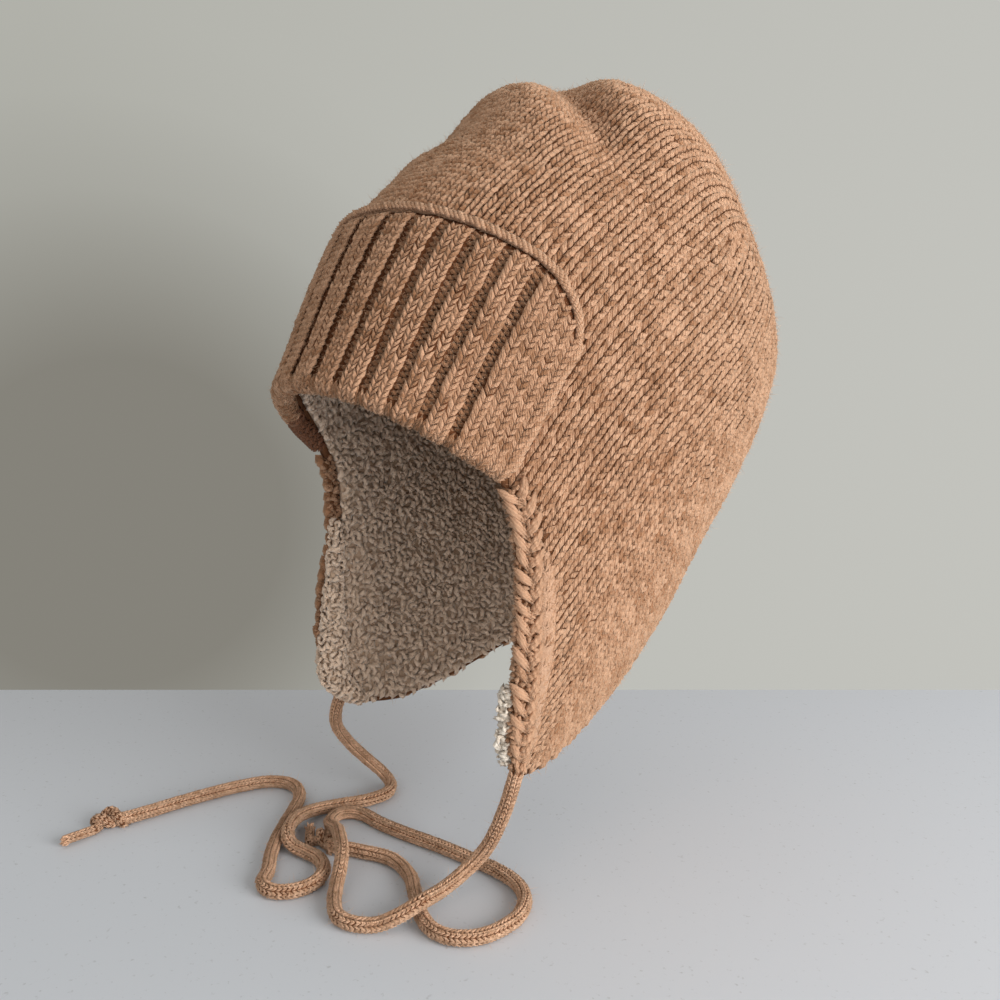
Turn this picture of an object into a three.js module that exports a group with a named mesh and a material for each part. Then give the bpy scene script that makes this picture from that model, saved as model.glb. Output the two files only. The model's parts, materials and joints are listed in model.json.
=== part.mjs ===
// Knitted earflap hat with a turned-up rib cuff, pile lining and two tie cords.
// Millimetres, +Z up. The wearer faces -Y and the wearer's left is +X. The model is laid out above
// the surface that the tie cords lie on, and the last lines bring the origin to the top of the head.
import * as THREE from 'three';

// Driving sizes
const HEAD_TOP = { y: 5, z: 291 };
const KNIT_WALL = 3.2;
const PILE_WALL = 3.4;
const GAP = 0.4;
const CUFF_THICK = 5.2;
const RIB_DEPTH = 1.5;
const RIB_PERIOD_DEG = 8.4;
const EDGING_RADIUS = 1.5;
const TRIM_WIDTH = 9.0;
const TRIM_THICK = 5.4;
const CORD_RADIUS = 3.2;
const KNOT = { half: 6.4, radius: 5.4 };

// How finely each piece is divided
const SHELL_GRID = { around: 44, flapRows: 6, capRows: 13, flapEndRow: 2.7 };
const CUFF_GRID = { across: 66, up: 5 };
const EDGING_GRID = { sides: 6, steps: 44 };
const TRIM_GRID = { sides: 8, steps: 22 };
const CORD_SIDES = 8;
const CORD_STEPS = 54;

// The hat as a bending tube. Each row is one section: the points where it meets the middle plane
// above and below, its half width, and how square it is (1 is an ellipse, less is squarer).
const SECTIONS = [
  { at: 'flap tips', topY: -162, topZ: 150, lowY: -14, lowZ: 18, half: 67, square: 0.95 },
  { at: 'jaw', topY: -137, topZ: 188, lowY: 40, lowZ: 52, half: 69, square: 0.92 },
  { at: 'brow', topY: -114, topZ: 228, lowY: 76, lowZ: 85, half: 73, square: 0.9 },
  { at: 'temple', topY: -93, topZ: 266, lowY: 92, lowZ: 114, half: 82, square: 0.9 },
  { at: 'cuff top', topY: -70, topZ: 298, lowY: 110, lowZ: 142, half: 90, square: 0.9 },
  { at: 'forehead', topY: -34, topZ: 326, lowY: 131, lowZ: 170, half: 90, square: 0.9 },
  { at: 'crown front', topY: 9, topZ: 358, lowY: 149, lowZ: 196, half: 81, square: 0.88 },
  { at: 'crown top', topY: 56, topZ: 364, lowY: 148, lowZ: 220, half: 61, square: 0.87 },
  { at: 'crown back', topY: 98, topZ: 345, lowY: 151, lowZ: 240, half: 45, square: 0.87 },
  { at: 'gathers', topY: 130, topZ: 318, lowY: 155, lowZ: 257, half: 32, square: 0.88 },
  { at: 'inner gathers', topY: 147, topZ: 296, lowY: 157, lowZ: 270, half: 16, square: 0.9 },
  { at: 'closing point', topY: 153, topZ: 281, lowY: 153, lowZ: 281, half: 0, square: 0.9 },
];
const CLOSING_ROW = SECTIONS.length - 1;

// Where the knit starts, by the angle from the brow (0) round the ear (90) to the nape (180).
// row is a place among the sections above.
const OPENING = [
  { angle: 0, row: 1.95 },
  { angle: 45, row: 1.93 },
  { angle: 62, row: 1.84 },
  { angle: 72, row: 1.42 },
  { angle: 80, row: 0.95 },
  { angle: 87, row: 0.58 },
  { angle: 95, row: 0.27 },
  { angle: 104, row: 0.03 },
  { angle: 112, row: -0.06 },
  { angle: 120, row: 0.0 },
  { angle: 131, row: 0.3 },
  { angle: 140, row: 0.85 },
  { angle: 150, row: 1.4 },
  { angle: 165, row: 1.95 },
  { angle: 180, row: 2.12 },
];
const OPENING_SOFTEN = 5;

// The face trim runs down each flap's front edge between two angles. The knit starts behind it, set
// back round the head by the given degrees, and fades back to the opening at both ends.
const TRIM = { fromAngle: 66, toAngle: 104, setBack: 9.2, centre: 4.0, fade: 6 };

// Folds and swellings: each is a soft bump of the given height, centred on an angle and a row, with
// its spread both ways. slant moves the centre row as the angle grows.
const FOLDS = [
  { name: 'front lobe', angle: 1, row: 5.72, spreadAngle: 26, spreadRow: 0.45, height: 1.8, slant: 0 },
  { name: 'top valley', angle: 21, row: 5.87, spreadAngle: 26, spreadRow: 0.34, height: -14, slant: -0.021 },
  { name: 'back slope', angle: 8, row: 7.08, spreadAngle: 38, spreadRow: 0.56, height: -6.7, slant: 0 },
  { name: 'side dip', angle: -17, row: 5.34, spreadAngle: 16, spreadRow: 0.28, height: -4.1, slant: 0 },
  { name: 'side swell', angle: -31, row: 5.02, spreadAngle: 14, spreadRow: 0.35, height: 3.9, slant: 0 },
  { name: 'left dart', angle: 81, row: 5.62, spreadAngle: 3, spreadRow: 0.2, height: -3, slant: 0 },
  { name: 'right dart', angle: -81, row: 5.62, spreadAngle: 3, spreadRow: 0.2, height: -3, slant: 0 },
];

// The turned-up cuff: its half spread in degrees at the fold and at the top, and its rows.
const CUFF = { foldRow: 1.8, topRow: 3.72, sideAngle: 61, cornerAngle: 19, cornerRows: 0.62 };

// Tie cord routes, laid by hand: the first points hang from the flap, the rest lie on the surface.
const LEFT_CORD_ROUTE = [
  [64, -63.5, 58], [61.5, -65.5, 46], [56.5, -68.5, 30], [50.5, -70.5, 18.5], [47, -79, 11],
  [48.5, -93, 9.3], [51, -106, 10.8], [48, -115, 7.5], [42, -122, 3.8], [35, -128, 3.4],
  [26, -130, 3.4], [16, -125, 3.4], [8, -118.5, 4.2], [2, -112, 8], [-5, -106, 11.2],
  [-12, -102, 11.3], [-18.5, -98.3, 10.6], [-27, -93.8, 8.2], [-36, -91, 5.2], [-43, -86.5, 3.6],
  [-46, -80, 3.4], [-43, -73.6, 3.4], [-36, -70.6, 3.4], [-26, -70.2, 3.4], [-8, -67.5, 3.4],
  [12, -63, 3.4], [32, -60, 3.4], [48, -58, 3.4], [61, -59.5, 3.4], [71, -65, 3.4],
  [78, -76, 3.4], [79, -88, 3.4], [76, -98.5, 3.4], [69, -105.5, 3.4], [60, -107.5, 3.4],
  [49, -104.5, 3.4], [36, -97, 3.4], [22, -89, 3.4], [6, -86.5, 3.4], [-10, -93, 3.4],
  [-23.6, -100.9, 4],
];
const RIGHT_CORD_ROUTE = [
  [-64, -63.5, 58], [-67.5, -64.5, 49], [-71.5, -62, 38], [-71.5, -54.5, 26], [-69, -45.5, 15],
  [-62.5, -39.5, 7], [-55, -40, 3.6], [-47.5, -48, 3.4], [-48, -60, 3.4], [-53, -72, 3.4],
  [-57, -84, 3.8], [-55, -94.5, 5.6], [-49.5, -103.5, 7.6], [-43, -110.5, 8], [-38, -113.6, 6.5],
  [-33, -113.6, 4.6], [-26, -111.4, 3.5], [-18, -110.4, 3.4], [-10.5, -112.5, 3.4],
  [-4.5, -118, 3.4], [-2, -126, 3.4], [-4, -134.5, 3.4], [-10, -140, 3.4], [-18, -139.5, 3.4],
  [-25, -132.5, 3.4], [-34, -126, 3.4], [-45.4, -116, 3.4], [-56.5, -104, 3.4], [-66, -93, 3.4],
  [-74.5, -84.5, 3.4], [-84, -79.5, 3.4], [-94, -79.8, 3.4], [-102.5, -86.5, 3.4],
  [-107.5, -98, 3.4], [-111, -113, 3.4], [-113.5, -130, 3.4], [-115, -147, 3.4],
  [-116.5, -161.5, 3.8],
];

// The overhand knot at each cord's far end, and the tip of the short tail past it.
const KNOTS = [
  { side: 'left', centre: [-30.8, -102.4, 5.8], tailTip: [-42.5, -98.2, 3.4] },
  { side: 'right', centre: [-117.2, -169.2, 5.8], tailTip: [-116, -186.5, 3.4] },
];

// Colours from the photographed hat
const CAMEL = 0xc08f5f;
const RIB_BROWN = 0xa87a4c;
const CREAM = 0xd9c9ad;
const CORD_TAN = 0xb5855a;

const radians = (degrees) => (degrees * Math.PI) / 180;
const mix = (a, b, f) => a + (b - a) * f;
const clamp = (value, low, high) => Math.min(high, Math.max(low, value));
const bell = (x) => Math.exp(-x * x);

/** Smooth value of one column of the section table at a place between its rows. */
function sectionValue(column, row) {
  const last = SECTIONS.length - 1;
  const i = clamp(Math.floor(row), 0, last - 1);
  const f = row - i;
  const p1 = SECTIONS[i][column];
  const p2 = SECTIONS[i + 1][column];
  const p0 = i > 0 ? SECTIONS[i - 1][column] : 2 * p1 - p2;
  const p3 = i < last - 1 ? SECTIONS[i + 2][column] : 2 * p2 - p1;
  const slope = p2 - p0;
  const second = 2 * p0 - 5 * p1 + 4 * p2 - p3;
  const third = 3 * p1 - p0 - 3 * p2 + p3;
  return 0.5 * (2 * p1 + slope * f + second * f * f + third * f * f * f);
}

const signedPower = (value, power) => Math.sign(value) * Math.abs(value) ** power;

/** Point of the tube before its folds. angle is in degrees, 0 at the brow and 90 at the left ear. */
function plainPoint(angle, row) {
  const across = signedPower(Math.sin(radians(angle)), sectionValue('square', row));
  const rise = signedPower(Math.cos(radians(angle)), sectionValue('square', row));
  const topY = sectionValue('topY', row);
  const topZ = sectionValue('topZ', row);
  const lowY = sectionValue('lowY', row);
  const lowZ = sectionValue('lowZ', row);
  return new THREE.Vector3(
    across * sectionValue('half', row),
    (topY + lowY) / 2 + (rise * (topY - lowY)) / 2,
    (topZ + lowZ) / 2 + (rise * (topZ - lowZ)) / 2,
  );
}

/** Outward direction of the tube. */
function outward(angle, row) {
  const steadyRow = Math.min(row, CLOSING_ROW - 0.25);
  const stepAngle = 1.5;
  const stepRow = 0.06;
  const round = plainPoint(angle + stepAngle, steadyRow).sub(plainPoint(angle - stepAngle, steadyRow));
  const along = plainPoint(angle, steadyRow + stepRow).sub(plainPoint(angle, steadyRow - stepRow));
  const normal = round.cross(along).normalize();
  const closing = new THREE.Vector3(0, 0.8, 0.6);
  const share = clamp((row - (CLOSING_ROW - 1)) / 1, 0, 1);
  return normal.lerp(closing, share * share).normalize();
}

/** Height of all the folds at a place. */
function foldHeight(angle, row) {
  let height = 0;
  for (const fold of FOLDS) {
    const turn = ((angle - fold.angle + 540) % 360) - 180;
    const centreRow = fold.row + fold.slant * turn;
    height += fold.height * bell(turn / fold.spreadAngle) * bell((row - centreRow) / fold.spreadRow);
  }
  return height;
}

/** Point at a given height above the outer face of the knit, or below it if negative. */
function hatPoint(angle, row, above = 0) {
  return plainPoint(angle, row).addScaledVector(outward(angle, row), foldHeight(angle, row) + above);
}

function openingAt(angle) {
  const from = OPENING.findLastIndex((entry) => entry.angle <= angle);
  const i = clamp(from, 0, OPENING.length - 2);
  const share = (angle - OPENING[i].angle) / (OPENING[i + 1].angle - OPENING[i].angle);
  return mix(OPENING[i].row, OPENING[i + 1].row, share);
}

/** Angle from the brow on either side, 0 to 180. */
const folded = (angle) => Math.abs(((angle + 540) % 360) - 180);

/** Row of the opening's edge at an angle, with the table's corners rounded off. */
function openingRow(angle) {
  const middle = folded(angle);
  const nearer = Math.abs(middle - OPENING_SOFTEN);
  const farther = Math.min(middle + OPENING_SOFTEN, 360 - middle - OPENING_SOFTEN);
  return (openingAt(nearer) + openingAt(middle) + openingAt(Math.min(farther, 180))) / 3;
}

/** Row where the knit starts: behind the trim on the face edge, at the opening everywhere else. */
function knitStart(angle) {
  const middle = folded(angle);
  const into = clamp((middle - TRIM.fromAngle) / TRIM.fade + 0.5, 0, 1);
  const outOf = clamp((TRIM.toAngle + TRIM.setBack - middle) / TRIM.fade + 1, 0, 1);
  return openingRow(middle - TRIM.setBack * into * outOf);
}

const liningStart = (angle) => openingRow(angle) + 0.05;

/** Row of one ring of a shell: the flaps' rings follow the opening and the rest are level. */
function ringRow(start, j) {
  const { flapRows, capRows, flapEndRow } = SHELL_GRID;
  if (j < flapRows) return mix(start, flapEndRow, j / flapRows);
  return mix(flapEndRow, CLOSING_ROW, ((j - flapRows) / capRows) ** 0.96);
}

/** Closed body from numbered points and faces. */
function solid(points, faces) {
  const geometry = new THREE.BufferGeometry();
  geometry.setAttribute('position', new THREE.Float32BufferAttribute(points.flatMap((p) => p.toArray()), 3));
  geometry.setIndex(faces.flat());
  geometry.computeVertexNormals();
  return geometry;
}

/** Angles round the hat, closer together on the ear flaps where the edge turns most. */
function anglesRound(count) {
  const crowding = 5.5;
  const angles = [];
  for (let i = 0; i < count; i += 1) {
    const even = (360 * i) / count;
    angles.push(even + crowding * Math.sin(radians(2 * even)) - 0.35 * crowding * Math.sin(radians(4 * even)));
  }
  return angles;
}

/** Cap-shaped shell with one open mouth: an outer and an inner face joined round the mouth. */
function capShell(outerAbove, innerAbove, startRow) {
  const ring = SHELL_GRID.around;
  const along = SHELL_GRID.flapRows + SHELL_GRID.capRows;
  const angles = anglesRound(ring);
  const points = [];
  for (const above of [outerAbove, innerAbove]) {
    for (let j = 0; j < along; j += 1) {
      for (const angle of angles) points.push(hatPoint(angle, ringRow(startRow(angle), j), above));
    }
    points.push(hatPoint(0, CLOSING_ROW, above));
  }
  const sideSize = ring * along + 1;
  const faces = [];
  for (const side of [0, 1]) {
    const base = side * sideSize;
    const pole = base + ring * along;
    const face = (a, b, c) => faces.push(side ? [a, c, b] : [a, b, c]);
    for (let i = 0; i < ring; i += 1) {
      const next = (i + 1) % ring;
      for (let j = 0; j < along - 1; j += 1) {
        const low = base + j * ring;
        const high = low + ring;
        face(low + i, low + next, high + next);
        face(low + i, high + next, high + i);
      }
      const top = base + (along - 1) * ring;
      face(top + i, top + next, pole);
    }
  }
  for (let i = 0; i < ring; i += 1) {
    const next = (i + 1) % ring;
    faces.push([i, sideSize + i, sideSize + next], [i, sideSize + next, next]);
  }
  return solid(points, faces);
}

/** Top row of the cuff at an angle: level over the brow, rounded down at each end. */
function cuffTop(angle) {
  const over = clamp((Math.abs(angle) - (CUFF.sideAngle - CUFF.cornerAngle)) / CUFF.cornerAngle, 0, 1);
  return CUFF.topRow - CUFF.cornerRows * (1 - Math.sqrt(1 - 0.96 * over * over));
}

/** Height of the cuff's face above the knit, with its ribs; the end bands stay flat. */
function cuffFace(angle, up) {
  const band = clamp((CUFF.sideAngle - 10 - Math.abs(angle)) / 3, 0, 1);
  const wave = 0.5 - 0.5 * Math.cos((2 * Math.PI * angle) / RIB_PERIOD_DEG);
  const groove = RIB_DEPTH * band * wave ** 1.5;
  const rounded = Math.sqrt(Math.max(0, Math.min(1, Math.min(up, 1 - up) / 0.07 + 0.25)));
  return GAP + (CUFF_THICK - groove) * rounded;
}

function cuffGeometry() {
  const { across, up } = CUFF_GRID;
  const rises = [0, 0.07, 0.36, 0.66, 0.93, 1];
  const points = [];
  for (const side of [0, 1]) {
    for (let i = 0; i <= across; i += 1) {
      const angle = mix(-CUFF.sideAngle, CUFF.sideAngle, i / across);
      for (let j = 0; j <= up; j += 1) {
        const row = mix(CUFF.foldRow, cuffTop(angle), rises[j]);
        points.push(hatPoint(angle, row, side ? GAP : cuffFace(angle, rises[j])));
      }
    }
  }
  const column = up + 1;
  const sheet = (across + 1) * column;
  const faces = [];
  for (let i = 0; i < across; i += 1) {
    for (let j = 0; j < up; j += 1) {
      const a = i * column + j;
      const b = a + column;
      faces.push([a, b, b + 1], [a, b + 1, a + 1]);
      faces.push([sheet + a, sheet + b + 1, sheet + b], [sheet + a, sheet + a + 1, sheet + b + 1]);
    }
  }
  const rim = [];
  for (let i = 0; i < across; i += 1) rim.push(i * column);
  for (let j = 0; j < up; j += 1) rim.push(across * column + j);
  for (let i = across; i > 0; i -= 1) rim.push(i * column + up);
  for (let j = up; j > 0; j -= 1) rim.push(j);
  rim.forEach((a, k) => {
    const b = rim[(k + 1) % rim.length];
    faces.push([a, sheet + a, sheet + b], [a, sheet + b, b]);
  });
  return solid(points, faces);
}

/** Closed tube of an oval section along a list of stations, each with its own two half sizes. */
function tube(stations, sides) {
  const points = [];
  for (const { centre, wide, thick } of stations) {
    for (let k = 0; k < sides; k += 1) {
      const turn = (2 * Math.PI * k) / sides;
      const point = centre.clone().addScaledVector(wide, Math.cos(turn)).addScaledVector(thick, Math.sin(turn));
      points.push(point);
    }
  }
  const faces = [];
  for (let i = 0; i < stations.length - 1; i += 1) {
    for (let k = 0; k < sides; k += 1) {
      const next = (k + 1) % sides;
      const a = i * sides;
      faces.push([a + k, a + next, a + sides + next], [a + k, a + sides + next, a + sides + k]);
    }
  }
  const end = (stations.length - 1) * sides;
  for (let k = 1; k < sides - 1; k += 1) {
    faces.push([0, k + 1, k], [end, end + k, end + k + 1]);
  }
  return solid(points, faces);
}

/** The cuff's free edge: up one side, along the top and down the other. */
function cuffEdge(share) {
  const sidePart = 0.16;
  const side = CUFF.sideAngle + 0.9;
  const foot = CUFF.foldRow + 0.1;
  const shoulder = cuffTop(CUFF.sideAngle);
  if (share < sidePart) return [-side, mix(foot, shoulder, share / sidePart)];
  if (share > 1 - sidePart) return [side, mix(shoulder, foot, (share - 1 + sidePart) / sidePart)];
  const along = (share - sidePart) / (1 - 2 * sidePart);
  const angle = -side * Math.cos(Math.PI * along);
  return [angle, cuffTop(clamp(angle, -CUFF.sideAngle, CUFF.sideAngle)) + 0.05];
}

function edgingGeometry() {
  const lift = CUFF_THICK + GAP + EDGING_RADIUS;
  const place = (share) => hatPoint(...cuffEdge(clamp(share, 0, 1)), lift);
  const stations = [];
  for (let i = 0; i <= EDGING_GRID.steps; i += 1) {
    const share = i / EDGING_GRID.steps;
    const [angle, row] = cuffEdge(share);
    const ahead = place(share + 0.01).sub(place(share - 0.01)).normalize();
    const thick = outward(angle, row);
    const wide = thick.clone().cross(ahead).normalize();
    thick.copy(ahead).cross(wide).normalize();
    stations.push({
      centre: place(share),
      wide: wide.multiplyScalar(EDGING_RADIUS),
      thick: thick.multiplyScalar(EDGING_RADIUS),
    });
  }
  return tube(stations, EDGING_GRID.sides);
}

/** Chain-stitch trim down the face edge of one flap; side is 1 on the left and -1 on the right. */
function trimGeometry(side) {
  const { steps, sides } = TRIM_GRID;
  const place = (share) => {
    const angle = mix(TRIM.fromAngle, TRIM.toAngle, share);
    return hatPoint(side * (angle + TRIM.centre), openingRow(angle), -0.1);
  };
  const stations = [];
  for (let i = 0; i <= steps; i += 1) {
    const share = i / steps;
    const angle = mix(TRIM.fromAngle, TRIM.toAngle, share);
    const ahead = place(Math.min(share + 0.02, 1)).sub(place(Math.max(share - 0.02, 0))).normalize();
    const wide = outward(side * (angle + TRIM.centre), openingRow(angle)).cross(ahead).normalize();
    const thick = ahead.clone().cross(wide).normalize();
    const swell = 0.9 + 0.05 * Math.cos(Math.PI * i);
    stations.push({
      centre: place(share),
      wide: wide.multiplyScalar((TRIM_WIDTH / 2) * swell),
      thick: thick.multiplyScalar((TRIM_THICK / 2) * swell),
    });
  }
  return tube(stations, sides);
}

function routeCurve(route) {
  return new THREE.CatmullRomCurve3(route.map((point) => new THREE.Vector3(...point)), false, 'centripetal');
}

function cordGeometry(route) {
  const ring = [];
  for (let k = 0; k < CORD_SIDES; k += 1) {
    const turn = (2 * Math.PI * k) / CORD_SIDES;
    ring.push(new THREE.Vector2(CORD_RADIUS * Math.cos(turn), CORD_RADIUS * Math.sin(turn)));
  }
  const options = { steps: CORD_STEPS, bevelEnabled: false, extrudePath: routeCurve(route) };
  return new THREE.ExtrudeGeometry(new THREE.Shape(ring), options);
}

/** Overhand knot as one lobed lump between a cord's end and its tail. */
function addKnot(group, { side, centre, tailTip }, route) {
  const middle = new THREE.Vector3(...centre);
  const ahead = middle.clone().sub(new THREE.Vector3(...route[route.length - 1])).setZ(0).normalize();
  const lump = new THREE.SphereGeometry(1, 14, 9);
  const place = lump.getAttribute('position');
  for (let i = 0; i < place.count; i += 1) {
    const v = new THREE.Vector3().fromBufferAttribute(place, i);
    const lobes = 0.9 + 0.1 * Math.cos(3 * Math.atan2(v.z, v.y) + 2 * v.x);
    place.setXYZ(i, v.x * KNOT.half, v.y * KNOT.radius * lobes, v.z * KNOT.radius * lobes);
  }
  lump.computeVertexNormals();
  const knot = new THREE.Mesh(lump, cloth(CORD_TAN));
  knot.name = `tie_knot_${side}`;
  knot.position.copy(middle);
  knot.rotation.z = Math.atan2(ahead.y, ahead.x);
  group.add(knot);
  const finish = new THREE.Vector3(...tailTip);
  const onward = finish.clone().sub(middle).setZ(0).normalize();
  const start = middle.clone().addScaledVector(onward, KNOT.half + 2 * GAP).setZ(CORD_RADIUS + 0.6);
  const along = finish.clone().sub(start).normalize();
  const wide = new THREE.Vector3(-along.y, along.x, 0).normalize();
  const thick = along.clone().cross(wide);
  const stations = [];
  for (let i = 0; i <= 4; i += 1) {
    const flare = CORD_RADIUS * (0.8 + 0.05 * i);
    const station = { centre: start.clone().lerp(finish, i / 4) };
    station.wide = wide.clone().multiplyScalar(flare);
    station.thick = thick.clone().multiplyScalar(flare);
    stations.push(station);
  }
  addPiece(group, `tie_tail_${side}`, tube(stations, CORD_SIDES), CORD_TAN);
}

const cloth = (color) => new THREE.MeshStandardMaterial({ color, roughness: 0.95, metalness: 0 });

function addPiece(group, name, geometry, color) {
  const mesh = new THREE.Mesh(geometry, cloth(color));
  mesh.name = name;
  group.add(mesh);
}

const hat = new THREE.Group();
addPiece(hat, 'crown_with_flaps', capShell(0, -KNIT_WALL, knitStart), CAMEL);
const liningOuter = -KNIT_WALL - GAP;
addPiece(hat, 'lining', capShell(liningOuter, liningOuter - PILE_WALL, liningStart), CREAM);
addPiece(hat, 'front_cuff', cuffGeometry(), RIB_BROWN);
addPiece(hat, 'cuff_edging', edgingGeometry(), CAMEL);
addPiece(hat, 'face_trim_left', trimGeometry(1), CAMEL);
addPiece(hat, 'face_trim_right', trimGeometry(-1), CAMEL);
addPiece(hat, 'tie_cord_left', cordGeometry(LEFT_CORD_ROUTE), CORD_TAN);
addPiece(hat, 'tie_cord_right', cordGeometry(RIGHT_CORD_ROUTE), CORD_TAN);
addKnot(hat, KNOTS[0], LEFT_CORD_ROUTE);
addKnot(hat, KNOTS[1], RIGHT_CORD_ROUTE);
hat.position.set(0, -HEAD_TOP.y, -HEAD_TOP.z);

export default hat;
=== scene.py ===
"""Knitted earflap hat: the looks of every piece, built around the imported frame."""

import json
import logging
import math
from collections.abc import Callable
from dataclasses import dataclass
from enum import Enum

import bpy
import numpy as np
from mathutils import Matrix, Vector

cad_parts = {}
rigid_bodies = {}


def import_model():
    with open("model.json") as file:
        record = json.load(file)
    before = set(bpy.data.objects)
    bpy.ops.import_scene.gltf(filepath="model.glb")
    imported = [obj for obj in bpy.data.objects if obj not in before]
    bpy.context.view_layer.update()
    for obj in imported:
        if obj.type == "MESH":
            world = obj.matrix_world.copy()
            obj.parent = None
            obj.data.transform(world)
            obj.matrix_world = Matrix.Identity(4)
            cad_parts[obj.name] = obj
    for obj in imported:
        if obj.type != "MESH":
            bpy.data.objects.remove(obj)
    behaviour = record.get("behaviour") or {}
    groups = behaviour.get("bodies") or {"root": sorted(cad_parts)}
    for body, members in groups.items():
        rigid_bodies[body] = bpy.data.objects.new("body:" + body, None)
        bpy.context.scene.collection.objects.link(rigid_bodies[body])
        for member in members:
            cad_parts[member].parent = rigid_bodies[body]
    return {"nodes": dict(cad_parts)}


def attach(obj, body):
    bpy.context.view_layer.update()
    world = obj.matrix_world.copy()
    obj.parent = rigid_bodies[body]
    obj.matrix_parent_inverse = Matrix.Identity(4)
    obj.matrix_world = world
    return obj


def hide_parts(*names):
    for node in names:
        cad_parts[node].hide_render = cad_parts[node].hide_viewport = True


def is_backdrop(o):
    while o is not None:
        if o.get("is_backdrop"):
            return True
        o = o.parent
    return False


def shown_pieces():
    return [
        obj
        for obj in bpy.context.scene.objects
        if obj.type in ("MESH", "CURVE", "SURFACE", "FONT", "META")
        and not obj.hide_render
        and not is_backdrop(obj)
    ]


log = logging.getLogger("earflap_hat")

MM = 0.001
ROOT = "root"
SEED = 11
MOST_POINTS = 1e6

# The part's form, in millimetres above the surface that the cords lie on. It is the solids' own, but
# for the cuff's deeper grooves and fuller edging.
HEAD_TOP = np.array([0.0, 5.0, 291.0])
KNIT_WALL = 3.2
PILE_WALL = 3.4
GAP = 0.4
CUFF_THICK = 5.2
RIB_DEPTH = 1.7
RIB_PERIOD = 8.4
EDGING_RADIUS = 1.6
CORD_RADIUS = 3.2


@dataclass(frozen=True)
class Section:
    """One row of the bending tube: its points in the middle plane, half width and squareness."""

    at: str
    top_y: float
    top_z: float
    low_y: float
    low_z: float
    half: float
    square: float


SECTIONS = (
    Section("flap tips", -162, 150, -14, 18, 67, 0.95),
    Section("jaw", -137, 188, 40, 52, 69, 0.92),
    Section("brow", -114, 228, 76, 85, 73, 0.9),
    Section("temple", -93, 266, 92, 114, 82, 0.9),
    Section("cuff top", -70, 298, 110, 142, 90, 0.9),
    Section("forehead", -34, 326, 131, 170, 90, 0.9),
    Section("crown front", 9, 358, 149, 196, 81, 0.88),
    Section("crown top", 56, 364, 148, 220, 61, 0.87),
    Section("crown back", 98, 345, 151, 240, 45, 0.87),
    Section("gathers", 130, 318, 155, 257, 32, 0.88),
    Section("inner gathers", 147, 296, 157, 270, 16, 0.9),
    Section("closing point", 153, 281, 153, 281, 0, 0.9),
)
CLOSING_ROW = len(SECTIONS) - 1.0

# Row of the opening's edge by the angle from the brow (0) round the ear (90) to the nape (180).
OPENING_ANGLES = (0, 45, 62, 72, 80, 87, 95, 104, 112, 120, 131, 140, 150, 165, 180)
OPENING_ROWS = (1.95, 1.93, 1.84, 1.42, 0.95, 0.58, 0.27, 0.03, -0.06, 0.0, 0.3, 0.85, 1.4, 1.95, 2.12)
OPENING_SOFTEN = 5.0


@dataclass(frozen=True)
class TrimPlace:
    """Where the face trim runs, in degrees, and how far the knit is set back behind it."""

    from_angle: float = 66.0
    to_angle: float = 104.0
    set_back: float = 9.2
    centre: float = 4.0
    fade: float = 6.0


@dataclass(frozen=True)
class CuffPlace:
    """Rows and angles of the turned-up cuff."""

    fold_row: float = 1.8
    top_row: float = 3.72
    side_angle: float = 61.0
    corner_angle: float = 19.0
    corner_rows: float = 0.62
    band: float = 10.0


TRIM = TrimPlace()
CUFF = CuffPlace()


@dataclass(frozen=True)
class Fold:
    """A soft bump or hollow, centred on an angle and a row, with its spread both ways."""

    angle: float
    row: float
    spread_angle: float
    spread_row: float
    height: float
    slant: float = 0.0


FOLDS = (
    Fold(1, 5.72, 26, 0.45, 1.8),
    Fold(21, 5.87, 26, 0.34, -14.0, -0.021),
    Fold(8, 7.08, 38, 0.56, -6.7),
    Fold(-17, 5.34, 16, 0.28, -4.1),
    Fold(-31, 5.02, 14, 0.35, 3.9),
    Fold(81, 5.62, 3, 0.2, -3.0),
    Fold(-81, 5.62, 3, 0.2, -3.0),
)

# Routes of the tie cords, as in the part's source.
LEFT_ROUTE = (
    (64, -63.5, 58), (61.5, -65.5, 46), (56.5, -68.5, 30), (50.5, -70.5, 18.5), (47, -79, 11),
    (48.5, -93, 9.3), (51, -106, 10.8), (48, -115, 7.5), (42, -122, 3.8), (35, -128, 3.4),
    (26, -130, 3.4), (16, -125, 3.4), (8, -118.5, 4.2), (2, -112, 8), (-5, -106, 11.2),
    (-12, -102, 11.3), (-18.5, -98.3, 10.6), (-27, -93.8, 8.2), (-36, -91, 5.2), (-43, -86.5, 3.6),
    (-46, -80, 3.4), (-43, -73.6, 3.4), (-36, -70.6, 3.4), (-26, -70.2, 3.4), (-8, -67.5, 3.4),
    (12, -63, 3.4), (32, -60, 3.4), (48, -58, 3.4), (61, -59.5, 3.4), (71, -65, 3.4),
    (78, -76, 3.4), (79, -88, 3.4), (76, -98.5, 3.4), (69, -105.5, 3.4), (60, -107.5, 3.4),
    (49, -104.5, 3.4), (36, -97, 3.4), (22, -89, 3.4), (6, -86.5, 3.4), (-10, -93, 3.4),
    (-23.6, -100.9, 4),
)
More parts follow.
